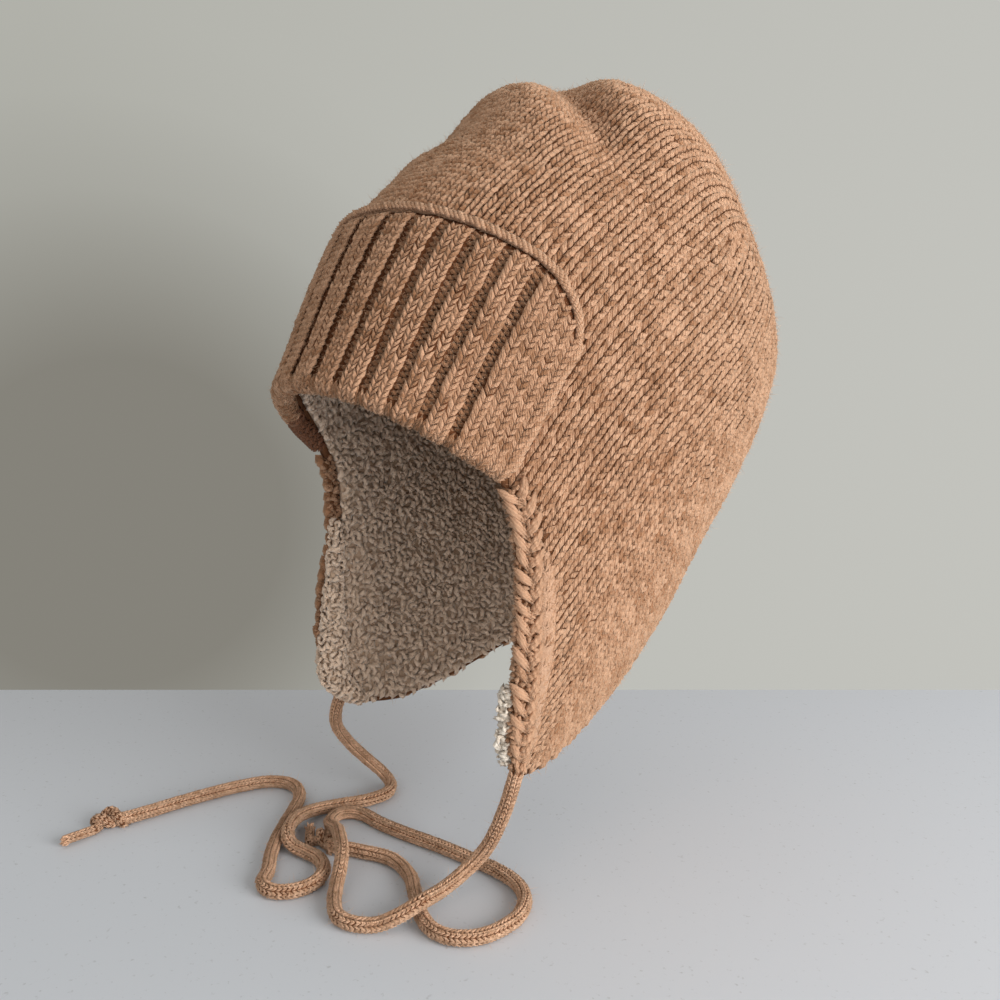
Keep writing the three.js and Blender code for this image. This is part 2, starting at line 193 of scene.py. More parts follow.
RIGHT_ROUTE = (
    (-64, -63.5, 58), (-67.5, -64.5, 49), (-71.5, -62, 38), (-71.5, -54.5, 26), (-69, -45.5, 15),
    (-62.5, -39.5, 7), (-55, -40, 3.6), (-47.5, -48, 3.4), (-48, -60, 3.4), (-53, -72, 3.4),
    (-57, -84, 3.8), (-55, -94.5, 5.6), (-49.5, -103.5, 7.6), (-43, -110.5, 8), (-38, -113.6, 6.5),
    (-33, -113.6, 4.6), (-26, -111.4, 3.5), (-18, -110.4, 3.4), (-10.5, -112.5, 3.4),
    (-4.5, -118, 3.4), (-2, -126, 3.4), (-4, -134.5, 3.4), (-10, -140, 3.4), (-18, -139.5, 3.4),
    (-25, -132.5, 3.4), (-34, -126, 3.4), (-45.4, -116, 3.4), (-56.5, -104, 3.4), (-66, -93, 3.4),
    (-74.5, -84.5, 3.4), (-84, -79.5, 3.4), (-94, -79.8, 3.4), (-102.5, -86.5, 3.4),
    (-107.5, -98, 3.4), (-111, -113, 3.4), (-113.5, -130, 3.4), (-115, -147, 3.4),
    (-116.5, -161.5, 3.8),
)


class Side(Enum):
    """The wearer's left (+X) or right (-X)."""

    LEFT = 1
    RIGHT = -1

    @property
    def word(self) -> str:
        """The side's name in piece names."""
        return self.name.lower()


def folded(angle: np.ndarray) -> np.ndarray:
    """Angle from the brow on either side, 0 to 180."""
    return np.abs((np.asarray(angle, float) + 540.0) % 360.0 - 180.0)


def to_frame(points: np.ndarray) -> np.ndarray:
    """Points in millimetres above the surface, moved to the part's frame in metres."""
    return (np.asarray(points, float) - HEAD_TOP) * MM


def unit(vectors: np.ndarray) -> np.ndarray:
    """Vectors scaled to length one."""
    return vectors / np.maximum(np.linalg.norm(vectors, axis=-1, keepdims=True), 1e-12)


def run_length(line: np.ndarray) -> np.ndarray:
    """Length along a line up to each of its points."""
    return np.concatenate(([0], np.cumsum(np.linalg.norm(np.diff(line, axis=0), axis=1))))


def sampled(places: np.ndarray, length: np.ndarray, vectors: np.ndarray) -> np.ndarray:
    """Vectors at places along a line, read between the line's points."""
    return np.stack([np.interp(places, length, vectors[:, axis]) for axis in range(3)], axis=1)


def merged(parts: list) -> tuple[np.ndarray, list]:
    """Several parts as one.

    Args:
        parts: points and faces of each part.

    Returns:
        Points and faces of the whole.
    """
    faces, base = [], 0
    for points, own in parts:
        faces.extend([[base + i for i in face] for face in own])
        base += len(points)
    return np.vstack([points for points, _ in parts]), faces


class HatForm:
    """The surface of the hat as a function of the angle round it and the row along it."""

    def column(self, name: str, row: np.ndarray) -> np.ndarray:
        """Smooth value of one column of the section table.

        Args:
            name: the column of Section.
            row: places among the sections.

        Returns:
            One value for each row.
        """
        values = np.array([getattr(section, name) for section in SECTIONS], float)
        padded = np.concatenate(([2 * values[0] - values[1]], values, [2 * values[-1] - values[-2]]))
        row = np.asarray(row, float)
        i = np.clip(np.floor(row), 0, len(values) - 2).astype(int)
        f = row - i
        p0, p1, p2, p3 = (padded[i + k] for k in range(4))
        return 0.5 * (
            2 * p1 + (p2 - p0) * f + (2 * p0 - 5 * p1 + 4 * p2 - p3) * f**2
            + (3 * p1 - p0 - 3 * p2 + p3) * f**3
        )

    def plain(self, angle: np.ndarray, row: np.ndarray) -> np.ndarray:
        """Points of the tube before its folds, in millimetres."""
        angle, row = np.broadcast_arrays(np.radians(np.asarray(angle, float)), np.asarray(row, float))
        power = self.column("square", row)
        across = np.sign(np.sin(angle)) * np.abs(np.sin(angle)) ** power
        rise = np.sign(np.cos(angle)) * np.abs(np.cos(angle)) ** power
        top_y, top_z = self.column("top_y", row), self.column("top_z", row)
        low_y, low_z = self.column("low_y", row), self.column("low_z", row)
        return np.stack(
            [
                across * self.column("half", row),
                (top_y + low_y) / 2 + rise * (top_y - low_y) / 2,
                (top_z + low_z) / 2 + rise * (top_z - low_z) / 2,
            ],
            axis=-1,
        )

    def outward(self, angle: np.ndarray, row: np.ndarray) -> np.ndarray:
        """Outward directions of the tube."""
        angle, row = np.broadcast_arrays(np.asarray(angle, float), np.asarray(row, float))
        steady = np.minimum(row, CLOSING_ROW - 0.25)
        step_angle, step_row = 1.5, 0.06
        round_ = self.plain(angle + step_angle, steady) - self.plain(angle - step_angle, steady)
        along = self.plain(angle, steady + step_row) - self.plain(angle, steady - step_row)
        normal = unit(np.cross(round_, along))
        share = np.clip(row - (CLOSING_ROW - 1), 0, 1)[..., None] ** 2
        closing = np.array([0.0, 0.8, 0.6])
        return unit(normal * (1 - share) + closing * share)

    def fold_height(self, angle: np.ndarray, row: np.ndarray) -> np.ndarray:
        """Height of all the folds, in millimetres."""
        angle, row = np.broadcast_arrays(np.asarray(angle, float), np.asarray(row, float))
        height = np.zeros(angle.shape)
        for fold in FOLDS:
            turn = (angle - fold.angle + 540.0) % 360.0 - 180.0
            away = (row - fold.row - fold.slant * turn) / fold.spread_row
            height += fold.height * np.exp(-((turn / fold.spread_angle) ** 2) - away**2)
        return height

    def point(self, angle: np.ndarray, row: np.ndarray, above: np.ndarray = 0.0) -> np.ndarray:
        """Points at a height above the knit's outer face, in the part's frame.

        Args:
            angle: degrees round the hat.
            row: places among the sections.
            above: millimetres outward, or inward if negative.

        Returns:
            Points in metres.
        """
        lift = (self.fold_height(angle, row) + above)[..., None]
        return to_frame(self.plain(angle, row) + self.outward(angle, row) * lift)

    def opening_row(self, angle: np.ndarray) -> np.ndarray:
        """Row of the opening's edge, with the table's corners rounded off."""
        middle = folded(angle)
        nearer = np.abs(middle - OPENING_SOFTEN)
        farther = np.minimum(middle + OPENING_SOFTEN, 360 - middle - OPENING_SOFTEN)
        rows = [np.interp(a, OPENING_ANGLES, OPENING_ROWS) for a in (nearer, middle, farther)]
        return sum(rows) / 3

    def knit_start(self, angle: np.ndarray) -> np.ndarray:
        """Row where the knit starts: behind the trim on the face edge."""
        middle = folded(angle)
        into = np.clip((middle - TRIM.from_angle) / TRIM.fade + 0.5, 0, 1)
        out_of = np.clip((TRIM.to_angle + TRIM.set_back - middle) / TRIM.fade + 1, 0, 1)
        return self.opening_row(middle - TRIM.set_back * into * out_of)

    def cuff_top(self, angle: np.ndarray) -> np.ndarray:
        """Top row of the cuff: level over the brow, rounded down at each end."""
        over = (np.abs(angle) - (CUFF.side_angle - CUFF.corner_angle)) / CUFF.corner_angle
        over = np.clip(over, 0, 1)
        return CUFF.top_row - CUFF.corner_rows * (1 - np.sqrt(1 - 0.96 * over**2))

    def cuff_face(self, angle: np.ndarray, up: np.ndarray) -> np.ndarray:
        """Height of the cuff's face above the knit, with its ribs, in millimetres."""
        band = np.clip((CUFF.side_angle - CUFF.band - np.abs(angle)) / 3, 0, 1)
        wave = 0.5 - 0.5 * np.cos(2 * np.pi * np.asarray(angle) / RIB_PERIOD)
        rounded = np.sqrt(np.clip(np.minimum(up, 1 - up) / 0.07 + 0.25, 0, 1))
        return GAP + (CUFF_THICK - RIB_DEPTH * band * wave**1.3) * rounded


FORM = HatForm()


def link(obj: bpy.types.Object) -> bpy.types.Object:
    """Puts an object in the scene."""
    bpy.context.scene.collection.objects.link(obj)
    return obj


def mesh_object(
    name: str, points: np.ndarray, faces: list, material: bpy.types.Material | None
) -> bpy.types.Object:
    """Makes a smooth mesh object.

    Args:
        name: the object's name.
        points: vertices in metres.
        faces: lists of vertex numbers.
        material: the finish, or None.

    Returns:
        The new object, at the origin.
    """
    mesh = bpy.data.meshes.new(name)
    mesh.from_pydata(np.asarray(points).tolist(), [], [list(face) for face in faces])
    mesh.polygons.foreach_set("use_smooth", [True] * len(mesh.polygons))
    mesh.update()
    if material is not None:
        mesh.materials.append(material)
    return link(bpy.data.objects.new(name, mesh))


def ride(obj: bpy.types.Object, slot: str, *nodes: str) -> bpy.types.Object:
    """Puts a piece on the hat's body and hides the solids that it stands for."""
    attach(obj, ROOT)
    if nodes:
        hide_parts(*nodes)
    log.info("%s: %d faces", obj.name, len(obj.data.polygons))
    return obj


def grid_faces(columns: int, rows: int, wrap: bool = False, start: int = 0) -> list:
    """Quads of a grid whose points run column by column.

    Args:
        columns: number of columns.
        rows: points in each column.
        wrap: True if the last column joins the first.
        start: number of the grid's first point.

    Returns:
        Faces as lists of point numbers.
    """
    faces = []
    for i in range(columns if wrap else columns - 1):
        a, b = start + i * rows, start + ((i + 1) % columns) * rows
        faces.extend([a + j, b + j, b + j + 1, a + j + 1] for j in range(rows - 1))
    return faces


def sheet(name: str, angle: np.ndarray, rows: np.ndarray, above: float, flipped: bool) -> bpy.types.Object:
    """A bare surface over the hat, on which fibres or curls are scattered.

    Args:
        name: the object's name.
        angle: the angle of each column.
        rows: the rows of each column's points.
        above: millimetres above the knit.
        flipped: True if the faces have to be turned over.

    Returns:
        The surface.
    """
    grid = np.repeat(angle[:, None], rows.shape[1], axis=1)
    faces = grid_faces(*rows.shape)
    if flipped:
        faces = [face[::-1] for face in faces]
    return mesh_object(name, FORM.point(grid, rows, above).reshape(-1, 3), faces, None)


def tube_faces(count: int, sides: int) -> list:
    """Faces of a closed tube, whose two cap points come after its rings.

    Args:
        count: number of rings.
        sides: points in each ring.

    Returns:
        Faces as lists of point numbers.
    """
    faces = []
    for i in range(count - 1):
        for k in range(sides):
            n = (k + 1) % sides
            faces.append([i * sides + k, i * sides + n, (i + 1) * sides + n, (i + 1) * sides + k])
    head, foot = count * sides, count * sides + 1
    last = (count - 1) * sides
    for k in range(sides):
        n = (k + 1) % sides
        faces.append([head, n, k])
        faces.append([foot, last + k, last + n])
    return faces


def tube_mesh(
    centres: np.ndarray, wide: np.ndarray, thick: np.ndarray, sides: int
) -> tuple[np.ndarray, list]:
    """Closed tube with pointed caps.

    Args:
        centres: points along the middle.
        wide: half-width vector at each point.
        thick: half-thickness vector at each point.
        sides: number of sides.

    Returns:
        Points and faces.
    """
    turn = np.linspace(0, 2 * np.pi, sides, endpoint=False)
    cos, sin = np.cos(turn)[None, :, None], np.sin(turn)[None, :, None]
    rings = centres[:, None] + cos * wide[:, None] + sin * thick[:, None]
    points = np.vstack([rings.reshape(-1, 3), centres[:1], centres[-1:]])
    return points, tube_faces(len(centres), sides)


def live(sockets: bpy.types.bpy_prop_collection, key: str | int) -> bpy.types.NodeSocket:
    """The socket with a number, or the enabled one of those that share a name."""
    if isinstance(key, int):
        return sockets[key]
    return next(s for s in sockets if s.name == key and s.enabled)


def wire(links: bpy.types.NodeLinks, start: bpy.types.Node, out: str, end: bpy.types.Node, into: str) -> None:
    """Links an output of one node to an input of another."""
    links.new(live(start.outputs, out), live(end.inputs, into))


def preset(node: bpy.types.Node, values: dict) -> None:
    """Sets a node's inputs by their names."""
    for name, value in values.items():
        node.inputs[name].default_value = value


def colour_ramp(nodes: bpy.types.Nodes, stops: list) -> bpy.types.Node:
    """A ramp with a colour at each place.

    Args:
        nodes: the nodes that it joins.
        stops: places from 0 to 1, each with its colour.

    Returns:
        The ramp's node.
    """
    ramp = nodes.new("ShaderNodeValToRGB")
    elements = ramp.color_ramp.elements
    while len(elements) < len(stops):
        elements.new(0.5)
    for element, (place, colour) in zip(elements, stops):
        element.position = place
        element.color = (*colour, 1)
    return ramp


class Shades:
    """Shader node groups that more than one finish uses."""

    _made: dict = {}

    @classmethod
    def wool(cls) -> bpy.types.NodeTree:
        """Group that gives the mottle of spun yarn and the height of its plies and fibres."""
        if "wool" in cls._made:
            return cls._made["wool"]
        group = bpy.data.node_groups.new("wool yarn", "ShaderNodeTree")
        face = group.interface
        face.new_socket("Vector", in_out="INPUT", socket_type="NodeSocketVector")
        face.new_socket("Spun", in_out="INPUT", socket_type="NodeSocketVector")
        for name, value in (("Mottle Scale", 90.0), ("Fibre Scale", 900.0), ("Speckle", 0.5), ("Ply", 0.5)):
            face.new_socket(name, in_out="INPUT", socket_type="NodeSocketFloat").default_value = value
        face.new_socket("Mottle", in_out="OUTPUT", socket_type="NodeSocketFloat")
        face.new_socket("Height", in_out="OUTPUT", socket_type="NodeSocketFloat")
        nodes, links = group.nodes, group.links
        given, result = nodes.new("NodeGroupInput"), nodes.new("NodeGroupOutput")
        mottle, fibre = nodes.new("ShaderNodeTexNoise"), nodes.new("ShaderNodeTexNoise")
        mottle.inputs["Detail"].default_value = 4.0
        fibre.inputs["Detail"].default_value = 3.0
        fibre.inputs["Distortion"].default_value = 0.6
        for noise, scale in ((mottle, "Mottle Scale"), (fibre, "Fibre Scale")):
            wire(links, given, "Vector", noise, "Vector")
            links.new(given.outputs[scale], noise.inputs["Scale"])
        speck = nodes.new("ShaderNodeMix")
        wire(links, given, "Speckle", speck, "Factor")
        wire(links, mottle, "Fac", speck, "A")
        wire(links, fibre, "Fac", speck, "B")
        wire(links, speck, "Result", result, "Mottle")
        twist, wave = nodes.new("ShaderNodeVectorMath"), nodes.new("ShaderNodeMath")
        ply = nodes.new("ShaderNodeMath")
        twist.operation = "DOT_PRODUCT"
        twist.inputs[1].default_value = (22.0, 9.0, 6.0)
        wave.operation = "SINE"
        ply.operation = "MULTIPLY_ADD"
        wire(links, given, "Spun", twist, 0)
        wire(links, twist, "Value", wave, 0)
        wire(links, wave, 0, ply, 0)
        wire(links, given, "Ply", ply, 1)
        wire(links, fibre, "Fac", ply, 2)
        wire(links, ply, 0, result, "Height")
        cls._made["wool"] = group
        return group


@dataclass(frozen=True)
class Wool:
    """A woollen finish: its colours, how far its tone varies, its fibre relief and its sheen."""

    name: str
    light: tuple[float, float, float]
    dark: tuple[float, float, float]
    tone: float = 0.25
    mottle_scale: float = 150.0
    fibre_scale: float = 900.0
    speckle: float = 0.55
    ply: float = 0.25
    relief: float = 0.75
    relief_depth: float = 0.0007
    roughness: float = 0.92
    sheen: float = 0.35
    sheen_roughness: float = 0.5
    sheen_tint: tuple[float, float, float] = (1.0, 0.86, 0.7)
    dark_until: float = 0.26
    light_from: float = 0.66
    specular: float = 0.2

    def material(self) -> bpy.types.Material:
        """Builds the material, or returns the one already built."""
        if self.name in bpy.data.materials:
            return bpy.data.materials[self.name]
        made = bpy.data.materials.new(self.name)
        made.use_nodes = True
        nodes, links = made.node_tree.nodes, made.node_tree.links
        shader = nodes["Principled BSDF"]
        place = nodes.new("ShaderNodeTexCoord")
        yarn = nodes.new("ShaderNodeGroup")
        yarn.node_tree = Shades.wool()
        scales = {"Mottle Scale": self.mottle_scale, "Fibre Scale": self.fibre_scale}
        preset(yarn, scales | {"Speckle": self.speckle, "Ply": self.ply})
        wire(links, place, "Object", yarn, "Vector")
        spun = nodes.new("ShaderNodeAttribute")
        spun.attribute_name = "spun"
        wire(links, spun, "Vector", yarn, "Spun")
        tone = nodes.new("ShaderNodeAttribute")
        tone.attribute_name = "tone"
        share = nodes.new("ShaderNodeMath")
        share.operation = "MULTIPLY_ADD"
        share.inputs[1].default_value = self.tone
        wire(links, tone, "Fac", share, 0)
        wire(links, yarn, "Mottle", share, 2)
        ramp = colour_ramp(nodes, ((self.dark_until, self.dark), (self.light_from, self.light)))
        wire(links, share, 0, ramp, "Fac")
        wire(links, ramp, "Color", shader, "Base Color")
        bump = nodes.new("ShaderNodeBump")
        preset(bump, {"Strength": self.relief, "Distance": self.relief_depth})
        wire(links, yarn, "Height", bump, "Height")
        wire(links, bump, "Normal", shader, "Normal")
        preset(shader, {"Roughness": self.roughness, "Specular IOR Level": self.specular})
        preset(shader, {"Sheen Weight": self.sheen, "Sheen Roughness": self.sheen_roughness})
        preset(shader, {"Sheen Tint": (*self.sheen_tint, 1.0)})
        return made


WARM_SHEEN = (1.0, 0.76, 0.55)
CAMEL = Wool(
    "camel knit", (0.56, 0.333, 0.21), (0.335, 0.165, 0.085), speckle=0.8, sheen=0.4,
    sheen_tint=WARM_SHEEN,
)
# The camel yarn made much darker: painted shade in the gaps between and under the stitches.
CAMEL_SHADE = Wool(
    "camel knit inside its stitches", (0.165, 0.07, 0.03), (0.09, 0.034, 0.013), ply=0, sheen=0,
)
FELTED = Wool(
    "felted edge", (0.57, 0.35, 0.23), (0.43, 0.24, 0.145), mottle_scale=260, ply=0, relief=0.9,
    relief_depth=0.001, sheen=0.5,
)
# The camel yarn with slightly darker colours, as painted shade over the cuff, the brow roll and the trim
# loops.
RIB = Wool(
    "rib knit", (0.535, 0.31, 0.192), (0.29, 0.14, 0.07), speckle=0.8, sheen=0.4, sheen_tint=WARM_SHEEN,
)
# A darker, redder copy of the rib yarn: painted shade on the brow roll's inner side at the cuff's right end.
RIB_FAR_SHADE = Wool(
    "rib knit at the cuff's right end", (0.42, 0.21, 0.12), (0.19, 0.08, 0.042), speckle=0.8, sheen=0.1,
)
# The rib yarn made much darker: painted shade in the gaps between and under the stitches.
RIB_SHADE = Wool("rib knit inside its stitches", (0.15, 0.055, 0.021), (0.08, 0.026, 0.009), ply=0, sheen=0)
PILE = Wool(
    "cream pile", (0.79, 0.6, 0.455), (0.59, 0.43, 0.315), tone=0.22, mottle_scale=160, ply=0, relief=0.8,
    relief_depth=0.001, sheen=0.8, sheen_tint=(1.0, 0.93, 0.85),
)
# The cream pile made darker: painted shade at the roots of the curls.
PILE_SHADE = Wool("cream pile at its roots", (0.66, 0.49, 0.36), (0.46, 0.32, 0.22), mottle_scale=160, ply=0)
# The cream pile made whiter and paler: painted light on the tufts at the left flap's tip.
TUFT_LIT = Wool(
    "loose white pile", (0.86, 0.78, 0.68), (0.62, 0.52, 0.42), tone=0.2, mottle_scale=300, ply=0, sheen=0.5,
    sheen_tint=(1.0, 0.97, 0.92),
)
CORD = Wool(
    "cord knit", (0.8, 0.5, 0.33), (0.5, 0.275, 0.16), speckle=0.8, sheen=0.5, sheen_tint=WARM_SHEEN,
)
# The cord yarn made much darker: painted shade in the gaps between and under the stitches.
CORD_SHADE = Wool("cord knit inside its stitches", (0.22, 0.088, 0.038), (0.13, 0.048, 0.02), ply=0, sheen=0)
FUZZ = Wool(
    "loose fibres", (0.66, 0.4, 0.25), (0.46, 0.255, 0.145), ply=0, relief=0.0, sheen=0.4,
    sheen_tint=WARM_SHEEN,
)
CORD_FUZZ = Wool(
    "loose fibres of the cords", (0.78, 0.52, 0.36), (0.56, 0.34, 0.22), ply=0, relief=0.0, sheen=0.5,
)


class Nodework:
    """Geometry node trees that lay small shapes over the hat."""

    @staticmethod
    def _open(name: str) -> tuple[bpy.types.NodeTree, bpy.types.Node, bpy.types.Node]:
        """Starts a tree.

        Args:
            name: the tree's name.

        Returns:
            The tree with its geometry, shape and material sockets, and its input and output nodes.
        """
        tree = bpy.data.node_groups.new(name, "GeometryNodeTree")
        for way, label, kind in (
            ("OUTPUT", "Geometry", "Geometry"), ("INPUT", "Geometry", "Geometry"),
            ("INPUT", "Shape", "Object"), ("INPUT", "Material", "Material"),
        ):
            tree.interface.new_socket(label, in_out=way, socket_type=f"NodeSocket{kind}")
        return tree, tree.nodes.new("NodeGroupInput"), tree.nodes.new("NodeGroupOutput")

    @staticmethod
    def _close(
        tree: bpy.types.NodeTree, given: bpy.types.Node, result: bpy.types.Node,
        socket: bpy.types.NodeSocket,
    ) -> None:
        """Ends a tree in Realize Instances and Set Material."""
        real = tree.nodes.new("GeometryNodeRealizeInstances")
        finish = tree.nodes.new("GeometryNodeSetMaterial")
        tree.links.new(socket, real.inputs["Geometry"])
        wire(tree.links, real, "Geometry", finish, "Geometry")
        wire(tree.links, given, "Material", finish, "Material")
        wire(tree.links, finish, "Geometry", result, "Geometry")

    @classmethod
    def placed(cls) -> bpy.types.NodeTree:
        """Tree that puts a shape on every point, turned and sized by the point's own values."""
        if "placed stitches" in bpy.data.node_groups:
            return bpy.data.node_groups["placed stitches"]
        tree, given, result = cls._open("placed stitches")
        shape = tree.nodes.new("GeometryNodeObjectInfo")
        place = tree.nodes.new("GeometryNodeInstanceOnPoints")
        turn = tree.nodes.new("GeometryNodeInputNamedAttribute")
        size = tree.nodes.new("GeometryNodeInputNamedAttribute")
        for node, name in ((turn, "turn"), (size, "size")):
            node.data_type = "FLOAT_VECTOR"
            node.inputs["Name"].default_value = name
        euler = tree.nodes.new("FunctionNodeEulerToRotation")
        wire(tree.links, given, "Geometry", place, "Points")
        wire(tree.links, given, "Shape", shape, "Object")
        wire(tree.links, shape, "Geometry", place, "Instance")
        wire(tree.links, turn, "Attribute", euler, 0)
        wire(tree.links, euler, 0, place, "Rotation")
        wire(tree.links, size, "Attribute", place, "Scale")
        cls._close(tree, given, result, place.outputs["Instances"])
        return tree

    @classmethod
    def scattered(cls) -> bpy.types.NodeTree:
        """Tree that scatters a shape over faces, leaning at random, with a random size and tone."""
        if "scattered fibres" in bpy.data.node_groups:
            return bpy.data.node_groups["scattered fibres"]
        tree, given, result = cls._open("scattered fibres")
        face = tree.interface
        for name in ("Density", "Spacing", "Lean", "Smallest", "Largest"):
            face.new_socket(name, in_out="INPUT", socket_type="NodeSocketFloat")
        face.new_socket("Seed", in_out="INPUT", socket_type="NodeSocketInt")
        spread = tree.nodes.new("GeometryNodeDistributePointsOnFaces")
        spread.distribute_method = "POISSON"
        shape = tree.nodes.new("GeometryNodeObjectInfo")
        place = tree.nodes.new("GeometryNodeInstanceOnPoints")
        lean = tree.nodes.new("FunctionNodeRandomValue")
        lean.data_type = "FLOAT_VECTOR"
        size = tree.nodes.new("FunctionNodeRandomValue")
        tone = tree.nodes.new("FunctionNodeRandomValue")
        keep = tree.nodes.new("GeometryNodeStoreNamedAttribute")
        keep.inputs["Name"].default_value = "tone"
        live(tone.inputs, "Min").default_value = -1.0
        live(tone.inputs, "Max").default_value = 1.0
        tip = tree.nodes.new("ShaderNodeCombineXYZ")
        back = tree.nodes.new("ShaderNodeVectorMath")
        back.operation = "SCALE"
        back.inputs["Scale"].default_value = -1.0
        tip.inputs["Z"].default_value = math.pi
        turned = tree.nodes.new("FunctionNodeRotateRotation")
        turned.rotation_space = "LOCAL"
        euler = tree.nodes.new("FunctionNodeEulerToRotation")
        ties = (
            (given, "Geometry", spread, "Mesh"),
            (given, "Density", spread, "Density Max"),
            (given, "Spacing", spread, "Distance Min"),
            (given, "Seed", spread, "Seed"),
            (given, "Shape", shape, "Object"),
            (given, "Lean", tip, "X"),
            (given, "Lean", tip, "Y"),
            (tip, "Vector", lean, "Max"),
            (tip, "Vector", back, 0),
            (back, "Vector", lean, "Min"),
            (given, "Seed", lean, "Seed"),
            (given, "Seed", size, "Seed"),
            (given, "Seed", tone, "Seed"),
            (given, "Smallest", size, "Min"),
            (given, "Largest", size, "Max"),
            (lean, "Value", euler, 0),
            (spread, "Rotation", turned, 0),
            (euler, 0, turned, 1),
            (spread, "Points", keep, "Geometry"),
            (tone, "Value", keep, "Value"),
            (keep, "Geometry", place, "Points"),
            (shape, "Geometry", place, "Instance"),
            (turned, 0, place, "Rotation"),
            (size, "Value", place, "Scale"),
        )
        for tie in ties:
            wire(tree.links, *tie)
        cls._close(tree, given, result, place.outputs["Instances"])
        return tree

    @staticmethod
    def bake(
        carrier: bpy.types.Object, tree: bpy.types.NodeTree, values: dict, name: str
    ) -> bpy.types.Object:
        """Runs a tree on a carrier and keeps the result as a plain mesh.

        Args:
            carrier: the object whose points or faces the tree reads; it is removed.
            tree: the geometry node tree.
            values: each input's value by its name.
            name: the new piece's name.

        Returns:
            The new piece, with no modifier.
        """
        run = carrier.modifiers.new("run", "NODES")
        run.node_group = tree
        for item in tree.interface.items_tree:
            if item.in_out == "INPUT" and item.name in values:
                run[item.identifier] = values[item.name]
        view = bpy.context.evaluated_depsgraph_get()
        mesh = bpy.data.meshes.new_from_object(carrier.evaluated_get(view))
        for spare in ("turn", "size"):
            if spare in mesh.attributes:
                mesh.attributes.remove(mesh.attributes[spare])
        bpy.data.objects.remove(carrier)
        mesh.name = name
        return link(bpy.data.objects.new(name, mesh))


